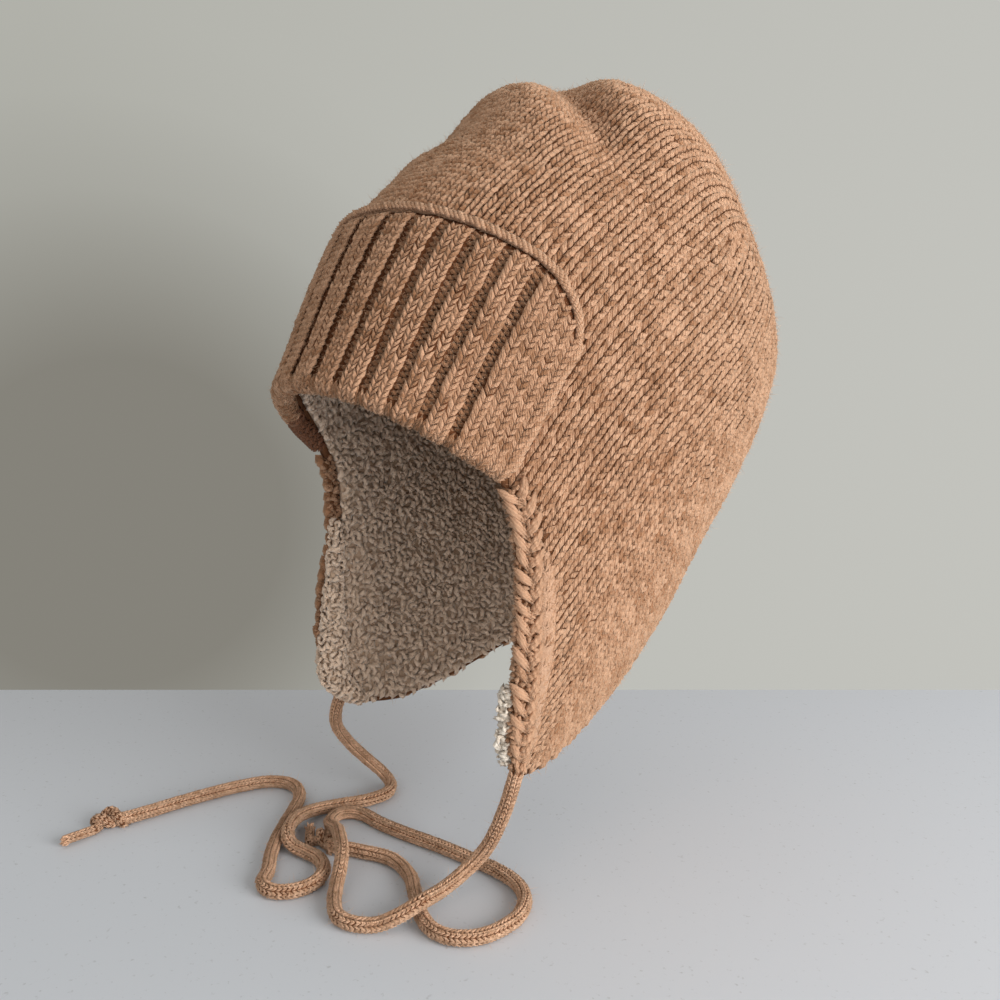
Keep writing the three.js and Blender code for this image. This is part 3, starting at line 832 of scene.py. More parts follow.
class Shapes:
    """Small shapes that are laid over the hat many times. Each is made once and isn't rendered."""

    @staticmethod
    def strand(
        start: tuple, middle: tuple, end: tuple, half: float, flat: float, sides: int = 4, rings: int = 3
    ) -> tuple[np.ndarray, list]:
        """A plump strand along a bent line, pointed at both ends.

        Args:
            start: first point.
            middle: point that the line bends towards.
            end: last point.
            half: half width at the middle.
            flat: half thickness at the middle.
            sides: sides of its section.
            rings: sections between the points.

        Returns:
            Points and faces.
        """
        a, b, c = (np.array(p, float) for p in (start, middle, end))
        t = np.linspace(0, 1, rings + 2)[:, None]
        line = a * (1 - t) ** 2 + 2 * b * t * (1 - t) + c * t**2
        plump = np.sin(np.pi * np.linspace(0, 1, rings + 2)[1:-1]) ** 0.6
        ahead = unit(np.gradient(line, axis=0))[1:-1]
        wide = unit(np.cross(ahead, [0, 0, 1]))
        thick = np.cross(wide, ahead)
        turn = np.linspace(0, 2 * np.pi, sides, endpoint=False) + (np.pi / 2 if sides == 3 else 0.0)
        ring = (
            line[1:-1, None]
            + (np.cos(turn)[None] * plump[:, None])[..., None] * wide[:, None] * half
            + (np.sin(turn)[None] * plump[:, None])[..., None] * thick[:, None] * flat
        )
        points = np.vstack([ring.reshape(-1, 3), line[:1], line[-1:]])
        faces = []
        for i in range(rings - 1):
            for k in range(sides):
                n = (k + 1) % sides
                faces.append([i * sides + k, (i + 1) * sides + k, (i + 1) * sides + n, i * sides + n])
        for k in range(sides):
            n = (k + 1) % sides
            faces.append([rings * sides, k, n])
            faces.append([rings * sides + 1, (rings - 1) * sides + n, (rings - 1) * sides + k])
        return points, faces

    @staticmethod
    def hidden(name: str, points: np.ndarray, faces: list) -> bpy.types.Object:
        """A shape's object, kept out of the render."""
        shape = mesh_object(name, points, faces, None)
        shape.hide_render = True
        return shape

    @classmethod
    def group(cls, name: str, strands: list) -> bpy.types.Object:
        """Several strands as one shape, which is made the first time that it is asked for.

        Args:
            name: the shape's name.
            strands: arguments of strand for each one.

        Returns:
            The shape's object.
        """
        if name in bpy.data.objects:
            return bpy.data.objects[name]
        whole, faces = merged([cls.strand(**parts) for parts in strands])
        shape = cls.hidden(name, whole, faces)
        spun = shape.data.attributes.new("spun", "FLOAT_VECTOR", "POINT")
        spun.data.foreach_set("vector", np.ascontiguousarray(whole, np.float32).ravel())
        return shape

    @classmethod
    def vee(cls, name: str, places: dict, **rest: float) -> bpy.types.Object:
        """A V of two legs.

        Args:
            name: the shape's name.
            places: start, middle and end of one leg; the other is its mirror image.
            rest: the other arguments of strand.

        Returns:
            The shape's object.
        """
        legs = [{key: (x * side, y, z) for key, (x, y, z) in places.items()} | rest for side in (-1, 1)]
        return cls.group(name, legs)

    @classmethod
    def knit_stitch(cls) -> bpy.types.Object:
        """One V of stocking stitch; across and along are one wale and one course."""
        leg = {"start": (0.14, -0.57, -1.0), "middle": (0.25, 0.0, 1.45), "end": (0.35, 0.63, -0.9)}
        return cls.vee("knit_stitch_shape", leg, half=0.21, flat=0.95)

    @classmethod
    def rib_stitch(cls) -> bpy.types.Object:
        """One V of the cuff's ribs, wider open than the crown's."""
        leg = {"start": (0.06, -0.6, -1.0), "middle": (0.26, 0.0, 1.45), "end": (0.44, 0.62, -0.8)}
        return cls.vee("rib_stitch_shape", leg, half=0.235, flat=0.95)

    @classmethod
    def cord_stitch(cls) -> bpy.types.Object:
        """The small V of the cords, with fewer faces."""
        leg = {"start": (0.08, -0.66, -0.7), "middle": (0.25, -0.02, 1.25), "end": (0.4, 0.72, -0.6)}
        return cls.vee("cord_stitch_shape", leg, half=0.25, flat=0.95, sides=3, rings=2)

    @classmethod
    def roll_strand(cls) -> bpy.types.Object:
        """One slanted strand of the cuff's edging."""
        places = {"start": (-0.4, -0.85, -0.3), "middle": (0, 0, 1.0), "end": (0.4, 0.85, -0.3)}
        return cls.group("roll_strand_shape", [dict(places, half=0.36, flat=0.8)])

    @classmethod
    def purl_bump(cls) -> bpy.types.Object:
        """One bump of reverse stocking stitch, lying across the wale."""
        places = {"start": (-0.55, -0.15, -0.4), "middle": (0, 0.5, 0.9), "end": (0.55, -0.15, -0.4)}
        return cls.group("purl_bump_shape", [dict(places, half=0.42, flat=0.75)])

    @classmethod
    def curl(cls) -> bpy.types.Object:
        """One curl of pile, about one unit long."""
        places = {"start": (-0.55, -0.25, -0.25), "middle": (0.1, 0.75, 0.75), "end": (0.6, -0.3, 0.0)}
        return cls.group("curl_shape", [dict(places, half=0.3, flat=0.3)])

    @classmethod
    def braid_link(cls) -> bpy.types.Object:
        """One chunky V of the face trim.

        Returns:
            The shape's object, each leg spun of three plies.
        """
        strands = []
        for side in (-1, 1):
            for ply in (-1, 0, 1):
                shift = 0.2 * ply
                places = {
                    "start": (0.0, -0.55 + shift, -0.5),
                    "middle": (0.27 * side, -0.1 + shift, 1.3 - 0.3 * abs(ply)),
                    "end": (0.48 * side, 0.5 + shift, -0.7),
                }
                strands.append(dict(places, half=0.112, flat=0.6))
        return cls.group("braid_link_shape", strands)

    @classmethod
    def fibre(cls, bent: bool) -> bpy.types.Object:
        """One loose fibre of length one.

        Args:
            bent: True for a thin bent one, False for a short straight one with only four faces.

        Returns:
            The shape's object.
        """
        name = "fibre_shape" if bent else "nap_shape"
        if name in bpy.data.objects:
            return bpy.data.objects[name]
        if not bent:
            points = np.array([[0.022, 0, 0], [-0.011, 0.019, 0], [-0.011, -0.019, 0], [0.1, 0.05, 1.0]])
            return cls.hidden(name, points, [[0, 2, 1], [0, 1, 3], [1, 2, 3], [2, 0, 3]])
        foot = [[0.008, 0, 0], [-0.004, 0.007, 0], [-0.004, -0.007, 0]]
        bend = [[0.1, 0.02, 0.5], [0.09, 0.028, 0.5], [0.09, 0.012, 0.5]]
        faces = [[0, 2, 1], [0, 1, 4, 3], [1, 2, 5, 4], [2, 0, 3, 5], [3, 4, 6], [4, 5, 6], [5, 3, 6]]
        return cls.hidden(name, np.array([*foot, *bend, [0.34, 0.1, 0.9]]), faces)


@dataclass
class Stitches:
    """Places of stitches on a surface: where, which way, how large and in what tone."""

    at: np.ndarray
    across: np.ndarray
    along: np.ndarray
    size: np.ndarray
    tone: np.ndarray

    def carrier(self, name: str, keep: np.ndarray | None = None) -> bpy.types.Object:
        """Points with the values that the placed tree reads.

        Args:
            name: the carrier's name.
            keep: mask of the stitches to use, or None for all.

        Returns:
            A mesh object of bare points.
        """
        keep = np.ones(len(self.at), bool) if keep is None else keep
        along = unit(self.along[keep])
        across = self.across[keep]
        across = unit(across - along * np.sum(across * along, axis=1, keepdims=True))
        out = np.cross(across, along)
        turn = np.stack(
            [
                np.arctan2(along[:, 2], out[:, 2]),
                np.arcsin(np.clip(-across[:, 2], -1, 1)),
                np.arctan2(across[:, 1], across[:, 0]),
            ],
            axis=1,
        )
        mesh = bpy.data.meshes.new(name)
        mesh.from_pydata(self.at[keep].tolist(), [], [])
        for label, kind, values in (
            ("turn", "FLOAT_VECTOR", turn), ("size", "FLOAT_VECTOR", self.size[keep]),
            ("tone", "FLOAT", self.tone[keep]),
        ):
            field = "value" if kind == "FLOAT" else "vector"
            flat = np.ascontiguousarray(values, np.float32).ravel()
            mesh.attributes.new(label, kind, "POINT").data.foreach_set(field, flat)
        return link(bpy.data.objects.new(name, mesh))


def lay_stitches(
    name: str, stitches: Stitches, shape: bpy.types.Object, finish: Wool, keep: np.ndarray | None = None
) -> bpy.types.Object:
    """Lays a shape on every stitch place and returns it as one plain mesh."""
    carrier = stitches.carrier(f"{name}_places", keep)
    return Nodework.bake(carrier, Nodework.placed(), {"Shape": shape, "Material": finish.material()}, name)


def scatter(
    name: str, field: bpy.types.Object, shape: bpy.types.Object, finish: Wool, spacing: float, lean: float,
    sizes: tuple[float, float], seed: int,
) -> bpy.types.Object:
    """Scatters a shape over a field's faces.

    Args:
        name: the new object's name.
        field: surface whose faces point outward; it is removed.
        shape: what is scattered.
        finish: its finish.
        spacing: least distance between two, in millimetres.
        lean: most that one leans, in radians.
        sizes: smallest and largest size, in millimetres.
        seed: the scatter's seed.

    Returns:
        One plain mesh.
    """
    values = {
        "Shape": shape, "Material": finish.material(), "Density": MOST_POINTS, "Spacing": spacing * MM,
        "Lean": lean, "Smallest": sizes[0] * MM, "Largest": sizes[1] * MM, "Seed": seed,
    }
    return Nodework.bake(field, Nodework.scattered(), values, name)


@dataclass
class Shell:
    """A cap-shaped wall with one open mouth."""

    name: str
    outer: float
    inner: float
    around: int = 120
    flap_rows: int = 14
    cap_rows: int = 34
    flap_end: float = 2.7
    ripple: float = 0.0

    def rows(self, start: np.ndarray) -> np.ndarray:
        """Row of each ring at each angle: the flaps' rings follow the opening."""
        low = np.linspace(0, 1, self.flap_rows, endpoint=False)
        share = np.linspace(0, 1, self.cap_rows, endpoint=False)
        high = np.interp(share, (0, 0.24, 0.7, 1), (self.flap_end, 5.0, 6.9, CLOSING_ROW))
        flap = start[:, None] + (self.flap_end - start[:, None]) * low[None]
        cap = np.repeat(high[None], len(start), axis=0)
        return np.hstack([flap, cap])

    def build(self, start_row: Callable, material: bpy.types.Material) -> bpy.types.Object:
        """Builds the wall.

        Args:
            start_row: function from angles to the rows where the wall starts.
            material: its finish.

        Returns:
            The wall as one closed mesh.
        """
        even = np.linspace(0, 360, self.around, endpoint=False)
        angle = even + 5.5 * np.sin(np.radians(2 * even)) - 1.9 * np.sin(np.radians(4 * even))
        rows = self.rows(start_row(angle))
        grid_angle = np.repeat(angle[:, None], rows.shape[1], axis=1)
        noise = np.random.default_rng(SEED).normal(size=rows.shape) * self.ripple
        points, faces, base = [], [], 0
        for inside, above in enumerate((self.outer, self.inner)):
            face = FORM.point(grid_angle, rows, above + noise * inside).reshape(-1, 3)
            pole = FORM.point(np.zeros(1), np.full(1, CLOSING_ROW), np.full(1, above))
            points.extend([face, pole])
            quads = grid_faces(self.around, rows.shape[1], wrap=True, start=base)
            tip = base + len(face)
            last = rows.shape[1] - 1
            quads += [
                [base + i * rows.shape[1] + last, base + ((i + 1) % self.around) * rows.shape[1] + last, tip]
                for i in range(self.around)
            ]
            faces += [quad[::-1] for quad in quads] if inside else quads
            base = tip + 1
        shift = base // 2
        for i in range(self.around):
            a, b = i * rows.shape[1], ((i + 1) % self.around) * rows.shape[1]
            faces.append([a, shift + a, shift + b, b])
        return mesh_object(self.name, np.vstack(points), faces, material)


@dataclass(frozen=True)
class Relief:
    """A stitch's full relief, what each felted place takes off it, and the least that is left."""

    full: float = 1.12
    strip: float = 0.5
    flap: float = 0.25
    side: float = 0.45
    top: float = 0.4
    least: float = 0.42


@dataclass
class Crown:
    """The knitted body with its flaps: a wall darkened as painted shade between the stitches, with every
    stitch laid on it.
    """

    wales: int = 104
    course: float = 3.45
    shaping_row: float = 5.0
    thickness: float = 1.4
    seam_angle: float = 81.0
    front_narrowing: float = 0.12
    flap_drift: float = 0.021
    crown_twist: float = 3.4
    most_stretch: float = 1.3
    wall_below: float = 0.5
    cut: Relief = Relief()

    def arcs(self, rows: np.ndarray, turns: np.ndarray) -> np.ndarray:
        """Length round the tube from the brow to each turn, one line of values for each row."""
        return np.array([run_length(FORM.plain(turns, np.full(len(turns), row))) for row in rows])

    def wale_angles(self, rows: np.ndarray) -> tuple[list[np.ndarray], np.ndarray]:
        """Angle of every wale of one side at each row, and a wale's width at each row.

        Below the shaping row the wales share the tube evenly. Above it they keep their width and
        run into the seams between the front gore and the side gores.

        Args:
            rows: evenly spaced rows.

        Returns:
            The angles, not a number where the wale has run into a seam, and the widths.
        """
        turns = np.arange(0, 180.5, 1.5)
        arcs = self.arcs(rows, turns)
        whole = arcs[:, -1]
        seam = np.array([np.interp(self.seam_angle, turns, line) for line in arcs])
        at_shaping = int(np.searchsorted(rows, self.shaping_row))
        half_count = self.wales // 2
        above = rows > self.shaping_row
        angles = []
        for k in range(half_count):
            even = (k + 0.5) / half_count
            share = even - self.front_narrowing * math.sin(2 * math.pi * even) / (2 * math.pi)
            drift = self.flap_drift * np.clip(self.shaping_row - rows, 0, None) * math.sin(math.pi * share)
            target = (share - drift) * whole
            fixed = share * whole[at_shaping]
            slack = 0.3 * whole[at_shaping] / half_count
            if fixed < seam[at_shaping]:
                kept = np.where(fixed < seam + slack, fixed, np.nan)
            else:
                middle, reach = (seam + whole) / 2, (whole - seam) / 2
                offset = fixed - middle[at_shaping]
                kept = np.where(np.abs(offset) < reach + slack, middle + offset, np.nan)
            target = np.where(above, kept, target)
            angles.append(
                np.array([np.interp(t, line, turns) if t == t else np.nan for t, line in zip(target, arcs)])
            )
        return angles, np.minimum(whole, whole[at_shaping]) / half_count

    def stitches(self) -> tuple[Stitches, np.ndarray]:
        """Places of all the stitches, and the side that each one is on."""
        rng = np.random.default_rng(SEED)
        fine = np.linspace(-0.1, CLOSING_ROW - 0.03, 560)
        wales, widths = self.wale_angles(fine)
        widths = np.where(fine > self.shaping_row, np.interp(self.shaping_row, fine, widths), widths)
        parts = {key: [] for key in ("at", "across", "along", "size", "tone", "side")}
        for side in Side:
            for index, wale in enumerate(wales):
                twist = self.crown_twist * np.clip(fine - self.shaping_row, 0, 3.5)
                angle = wale * side.value + twist
                before = wales[index - 1] if index else -wales[0]
                after = wales[index + 1] if index + 1 < len(wales) else 360 - wales[-1]
                start = FORM.knit_start(np.nan_to_num(angle)) + 0.03
                inside = (fine >= start) & np.isfinite(angle)
                if inside.sum() < 4:
                    continue
                rows, turns = fine[inside], angle[inside]
                line = FORM.point(turns, rows)
                length = run_length(line)
                first = rng.uniform(0.3, 0.6)
                places = np.arange(first, length[-1] / (self.course * MM), 1.0) * self.course * MM
                row = np.interp(places, length, rows)
                turned = np.interp(places, length, turns)
                under_cuff = (
                    (np.abs(turned) < CUFF.side_angle - 2.5) & (row > CUFF.fold_row + 0.05)
                    & (row < FORM.cuff_top(turned) - 0.12)
                )
                row, turned, places = row[~under_cuff], turned[~under_cuff], places[~under_cuff]
                count = len(row)
                step = 1.2 * MM
                spots = [
                    FORM.point(np.interp(places + d, length, turns), np.interp(places + d, length, rows))
                    for d in (-step, step)
                ]
                beside = FORM.point(turned + 0.5, row) - FORM.point(turned - 0.5, row)
                spread = 1 - self.front_narrowing * np.cos(2 * np.pi * folded(turned) / 180)
                width = np.interp(row, fine, widths) * spread
                ahead = unit(spots[1] - spots[0])
                for near in (before, after):
                    neighbour = np.interp(row, fine, near * side.value + twist)
                    reach = FORM.point(neighbour, row) - FORM.point(turned, row)
                    onward = ahead * np.sum(reach * ahead, axis=1)[:, None]
                    apart = np.linalg.norm(reach - onward, axis=1) / MM
                    width = np.fmax(width, np.fmin(apart, width * self.most_stretch))
                relief = self.relief(turned, row)
                shifted = turned + rng.normal(0, 0.08, count)
                parts["at"].append(FORM.point(shifted, row, -0.25 + rng.normal(0, 0.18, count)))
                parts["across"].append(beside)
                sway = unit(beside) * rng.normal(0, 0.09, (count, 1)) * 2 * step
                parts["along"].append(spots[1] - spots[0] + sway)
                tall = np.full(count, self.course)
                size = np.stack([width * 1.02, tall, self.thickness * relief], axis=1) * MM
                parts["size"].append(size * rng.normal(1.0, 0.06, (count, 1)))
                parts["tone"].append(rng.normal(0, 0.5, count) + (1 - relief) * 0.5)
                parts["side"].append(np.full(count, side.value))
        whole = {key: np.concatenate(values) for key, values in parts.items()}
        places = Stitches(whole["at"], whole["across"], whole["along"], whole["size"], whole["tone"])
        return places, whole["side"]

    def relief(self, angle: np.ndarray, row: np.ndarray) -> np.ndarray:
        """Share of a stitch's full relief at each place.

        Args:
            angle: degrees round the hat.
            row: places among the sections.

        Returns:
            The shares, less where the wool is felted: behind the trim, on the flaps, side and top.
        """
        cut = self.cut
        behind = folded(angle) - (TRIM.from_angle + (1.75 - row) * 22.0)
        strip = np.exp(-(((behind - 13.0) / 3.2) ** 2)) * np.clip((1.9 - row) / 0.4, 0, 1)
        flap = np.clip((2.0 - row) / 1.5, 0, 1)
        side = np.clip((folded(angle) - 48) / 38, 0, 1) * np.clip((row - 3.0) / 1.8, 0, 1)
        top = np.clip((row - 5.4) / 1.0, 0, 1)
        left = cut.full - cut.strip * strip - cut.flap * flap - cut.side * side - cut.top * top
        return np.maximum(left, cut.least)

    def build(self) -> list[bpy.types.Object]:
        """Builds the wall and its stitches."""
        wall = Shell("crown_wall", -self.wall_below, -KNIT_WALL)
        wall = wall.build(FORM.knit_start, CAMEL_SHADE.material())
        ride(wall, "camel_knit", "crown_with_flaps")
        shape = Shapes.knit_stitch()
        places, sides = self.stitches()
        log.info("crown stitches: %d", len(sides))
        made = [wall]
        for side in Side:
            piece = lay_stitches(f"crown_stitches_{side.word}", places, shape, CAMEL, sides == side.value)
            made.append(ride(piece, "camel_knit"))
        return made


@dataclass(frozen=True)
class PileRoll:
    """Where the right flap's roll of pile runs, in degrees, and its sizes, in millimetres."""

    from_angle: float = 75.0
    to_angle: float = 116.0
    taper: float = 6.0
    fullest: float = 99.0
    spread: float = 10.5
    low_angle: float = 96.0
    low_fade: float = 8.0
    depth: float = 6.4
    forward: float = 2.2
    low_forward: float = 4.4
    girth: float = 2.2
    swell: float = 3.4
    skin: float = 0.6
    spacing: float = 1.9
    way: tuple[float, float, float] = (-0.1, -1.0, 0.0)


@dataclass
class Lining:
    """Curly pile inside the hat."""

    curl_size: float = 4.5
    spacing: float = 2.3
    curls_to_row: float = 3.1
    trim_cover: float = 3.2
    edge_roll: PileRoll = PileRoll()

    def start(self, angle: np.ndarray) -> np.ndarray:
        """Row where the pile starts: hidden behind the face trims, but for their lower ends."""
        middle = folded(angle)
        behind = np.clip((middle - 60) / 6, 0, 1) * np.clip((101 - middle) / 6, 0, 1)
        return FORM.opening_row(middle - self.trim_cover * behind) + 0.05

    def curl_sizes(self, smallest: float, largest: float) -> tuple[float, float]:
        """Two shares of the curls' size, in millimetres."""
        return self.curl_size * smallest, self.curl_size * largest

    def build(self) -> list[bpy.types.Object]:
        """Builds the pile's backing, darkened as painted shade at the curls' roots, and the curls that show.

        Returns:
            The pieces.
        """
        outer = -KNIT_WALL - GAP
        inner = outer - PILE_WALL
        backing = Shell("lining_backing", outer, inner + 0.8, around=110, flap_rows=18, ripple=0.35)
        made = [ride(backing.build(self.start, PILE_SHADE.material()), "cream_pile", "lining")]
        shape = Shapes.curl()
        share = np.linspace(0, 1, 26)
        for side in Side:
            angle = np.linspace(0, 180, 61) * side.value
            begin = self.start(angle) - 0.02
            end = np.maximum(self.curls_to_row, begin + 0.6)
            rows = begin[:, None] + (end[:, None] - begin[:, None]) * share[None]
            field = sheet("pile_field", angle, rows, inner + 0.9, flipped=side is Side.LEFT)
            name, seed = f"pile_curls_{side.word}", SEED + side.value
            curls = scatter(name, field, shape, PILE, self.spacing, 0.5, self.curl_sizes(0.8, 1.2), seed)
            made.append(ride(curls, "cream_pile"))
        made.append(self.rolled_edge(shape))
        return made

    def rolled_edge(self, shape: bpy.types.Object) -> bpy.types.Object:
        """The pile that rolls out past the right flap's front edge, low down.

        Args:
            shape: the curl that covers it.

        Returns:
            The roll as one piece.
        """
        roll = self.edge_roll
        angle = np.linspace(roll.from_angle, roll.to_angle, 46)
        swell = np.exp(-(((angle - roll.fullest) / roll.spread) ** 2))
        from_end = np.minimum(angle - (roll.from_angle - 1), roll.to_angle + 1 - angle)
        taper = np.sqrt(np.clip(from_end / roll.taper, 0, 1))
        centre = FORM.point(-angle, FORM.opening_row(angle) + 0.02, -roll.depth)
        low = np.clip((angle - roll.low_angle) / roll.low_fade, 0, 1)
        forward = roll.forward + roll.low_forward * low
        centre = centre + np.array(roll.way) * (forward * MM * swell)[:, None]
        ahead = unit(np.gradient(centre, axis=0))
        wide = unit(np.cross(ahead, [0.0, 1.0, 0.0]))
        thick = np.cross(ahead, wide)
        girth = ((roll.girth + roll.swell * swell) * taper * MM)[:, None]
        skin = girth + roll.skin * MM
        core_points, faces = tube_mesh(centre, wide * girth, thick * girth, 12)
        field_points, _ = tube_mesh(centre, wide * skin, thick * skin, 12)
        # The roll's core is darkened as painted shade under its curls.
        core = mesh_object("pile_roll", core_points, faces, PILE_SHADE.material())
        field = mesh_object("roll_field", field_points, faces, None)
        sizes = self.curl_sizes(0.7, 1.0)
        curls = scatter("roll_curls", field, shape, PILE, roll.spacing, 0.6, sizes, SEED + 8)
        return ride(join([core, curls], "pile_roll_right"), "cream_pile")


@dataclass
class Cuff:
    """The turned-up rib cuff and its rolled edging."""

    wale: float = 2.8
    course: float = 2.95
    thickness: float = 1.25
    strand_step: float = 2.3
    roll_rows: float = 0.1
    roll_height: float = 1.0
    roll_half: float = 4.5
    roll_sides: int = 12
    groove_lift: float = 0.6
    groove_depth: float = 2.1
    groove_power: float = 1.4
    # Painted shade at the cuff's right end: the angle where it starts, the degrees over which it comes in,
    # and how much darker it makes the tone.
    far_angle: float = 43.0
    far_fade: float = 9.0
    far_tone: float = 3.0
    rises: tuple = (0, 0.025, 0.07, 0.15, 0.25, 0.35, 0.45, 0.55, 0.65, 0.75, 0.85, 0.93, 0.975, 1.0)

    def face(self, angle: np.ndarray, up: np.ndarray) -> np.ndarray:
        """Height of the ribs above the knit, with grooves deeper than the solid's.

        Args:
            angle: degrees round the hat.
            up: share of the cuff's height.

        Returns:
            Heights in millimetres.
        """
        band = np.clip((CUFF.side_angle - CUFF.band - np.abs(angle)) / 3, 0, 1)
        wave = 0.5 - 0.5 * np.cos(2 * np.pi * np.asarray(angle) / RIB_PERIOD)
        fade = np.clip(np.minimum(up + 0.05, 1 - up) / 0.1, 0, 1)
        near = 1 - 0.55 * np.clip((-np.asarray(angle) - 4.0) / 28.0, 0, 1)
        relief = self.groove_lift - self.groove_depth * wave**self.groove_power
        return FORM.cuff_face(angle, up) + fade * band * near * relief

    def far_shade(self, angle: np.ndarray) -> np.ndarray:
        """How much darker and redder the wool is painted at the cuff's right end, as painted shade."""
        return self.far_tone * np.clip((-np.asarray(angle) - self.far_angle) / self.far_fade, 0, 1)

    def band_angles(self) -> np.ndarray:
        """Angles of the wales of the plain band at the cuff's left end. The right end mirrors them."""
        return np.linspace(CUFF.side_angle - CUFF.band + 1.0, CUFF.side_angle - 1.2, 4)

    def roll_point(self, angle: np.ndarray, turn: np.ndarray, swell: np.ndarray) -> np.ndarray:
        """Points round the rolled brow fold.

        Args:
            angle: degrees round the hat.
            turn: radians round the roll, 0 at the cuff's face and half a turn inside.
            swell: millimetres outside the roll.

        Returns:
            Points in metres.
        """
        middle = CUFF.fold_row - 0.03 + self.roll_rows
        reach = self.roll_rows * (1 + swell / self.roll_half)
        height = self.roll_height + np.cos(turn) * (self.roll_half + swell)
        return FORM.point(angle, middle - np.sin(turn) * reach, height)

    def roll(self) -> bpy.types.Object:
        """The soft core of the brow fold, under its stitches, darkened as painted shade.

        Returns:
            The core as one closed mesh.
        """
        angle = np.linspace(-CUFF.side_angle, CUFF.side_angle, 120)
        turn = np.linspace(0, 2 * np.pi, self.roll_sides, endpoint=False)
        ribbed = np.abs(angle) < CUFF.side_angle - CUFF.band
        groove = 0.9 * (0.5 - 0.5 * np.cos(2 * np.pi * angle / RIB_PERIOD)) * ribbed
        grid_angle, grid_turn = np.meshgrid(angle, turn, indexing="ij")
        points = self.roll_point(grid_angle, grid_turn, np.repeat(-0.4 - groove[:, None], len(turn), axis=1))
        ends = [points[0].mean(axis=0), points[-1].mean(axis=0)]
        whole = np.vstack([points.reshape(-1, 3), ends])
        return mesh_object("brow_roll", whole, tube_faces(len(angle), self.roll_sides), RIB_SHADE.material())

    def roll_stitches(self) -> tuple[Stitches, np.ndarray]:
        """Stitches of the ribs carried round the brow fold, and which are in its right end, painted darker as
        shade.
        """
        rng = np.random.default_rng(SEED + 6)
        edge = CUFF.side_angle - CUFF.band
        angles = [k * RIB_PERIOD + s * self.wale for k in range(-7, 8) for s in (-0.5, 0.5)]
        for k in range(-7, 7):
            angles += [k * RIB_PERIOD + RIB_PERIOD / 2 + s * self.wale for s in (-0.28, 0.28)]
        sunk = [0.0] * 30 + [1.0] * 28
        kept = [(a, d) for a, d in zip(angles, sunk) if abs(a) < edge]
        kept += [(a, 0.0) for a in (*self.band_angles(), *-self.band_angles())]
        turns = np.arange(0.25, 3.6, 0.5)
        angle = np.repeat([a for a, _ in kept], len(turns))
        depth = np.repeat([d for _, d in kept], len(turns))
        turn = np.tile(turns, len(kept)) + rng.normal(0, 0.04, len(angle))
        swell = -0.25 - 0.8 * depth
        at = self.roll_point(angle, turn, swell)
        along = self.roll_point(angle, turn - 0.1, swell) - self.roll_point(angle, turn + 0.1, swell)
        across = self.roll_point(angle + 0.5, turn, swell) - self.roll_point(angle - 0.5, turn, swell)
        width = np.linalg.norm(across, axis=1) * self.wale * (1 - 0.35 * depth)
        size = np.stack([width, np.full(len(angle), 2.4 * MM), np.full(len(angle), 1.1 * MM)], axis=1)
        size *= rng.normal(1, 0.07, (len(angle), 1))
        # Painted shade: the tone is darker on the sunk purl columns, on the roll's inner side and at its
        # right end.
        tone = rng.normal(0, 0.5, len(angle)) - 1.2 * depth - 0.8 * np.clip(turn - 1.0, 0, 1)
        far = (angle + rng.normal(0, 4, len(angle)) < -41) & (turn > 0.7)
        return Stitches(at, across, along, size, tone - self.far_shade(angle)), far

    def wall(self) -> bpy.types.Object:
        """The cuff's padded wall with its ribs, darkened as painted shade between the stitches."""
        columns, rises = 190, np.array(self.rises)
        angle = np.linspace(-CUFF.side_angle, CUFF.side_angle, columns)
        top = FORM.cuff_top(angle)
        foot = CUFF.fold_row + self.roll_rows / 2
        rows = foot + (top + 0.03 - foot)[:, None] * rises[None]
        grid = np.repeat(angle[:, None], len(rises), axis=1)
        height = self.face(grid, np.repeat(rises[None], columns, axis=0))
        ends = np.clip((CUFF.side_angle - np.abs(grid)) / 1.2, 0, 1) ** 0.5
        face = FORM.point(grid, rows, GAP + (height - GAP) * (0.35 + 0.65 * ends) - 0.35).reshape(-1, 3)
        back = FORM.point(grid, rows, np.full(grid.shape, GAP)).reshape(-1, 3)
        faces = grid_faces(columns, len(rises))
        faces += [quad[::-1] for quad in grid_faces(columns, len(rises), start=len(face))]
        n, m = len(rises), len(face)
        rim = [i * n for i in range(columns - 1)] + [(columns - 1) * n + j for j in range(n - 1)]
        rim += [i * n + n - 1 for i in range(columns - 1, 0, -1)] + list(range(n - 1, 0, -1))
        for a, b in zip(rim, rim[1:] + rim[:1]):
            faces.append([a, m + a, m + b, b])
        return mesh_object("cuff_wall", np.vstack([face, back]), faces, RIB_SHADE.material())

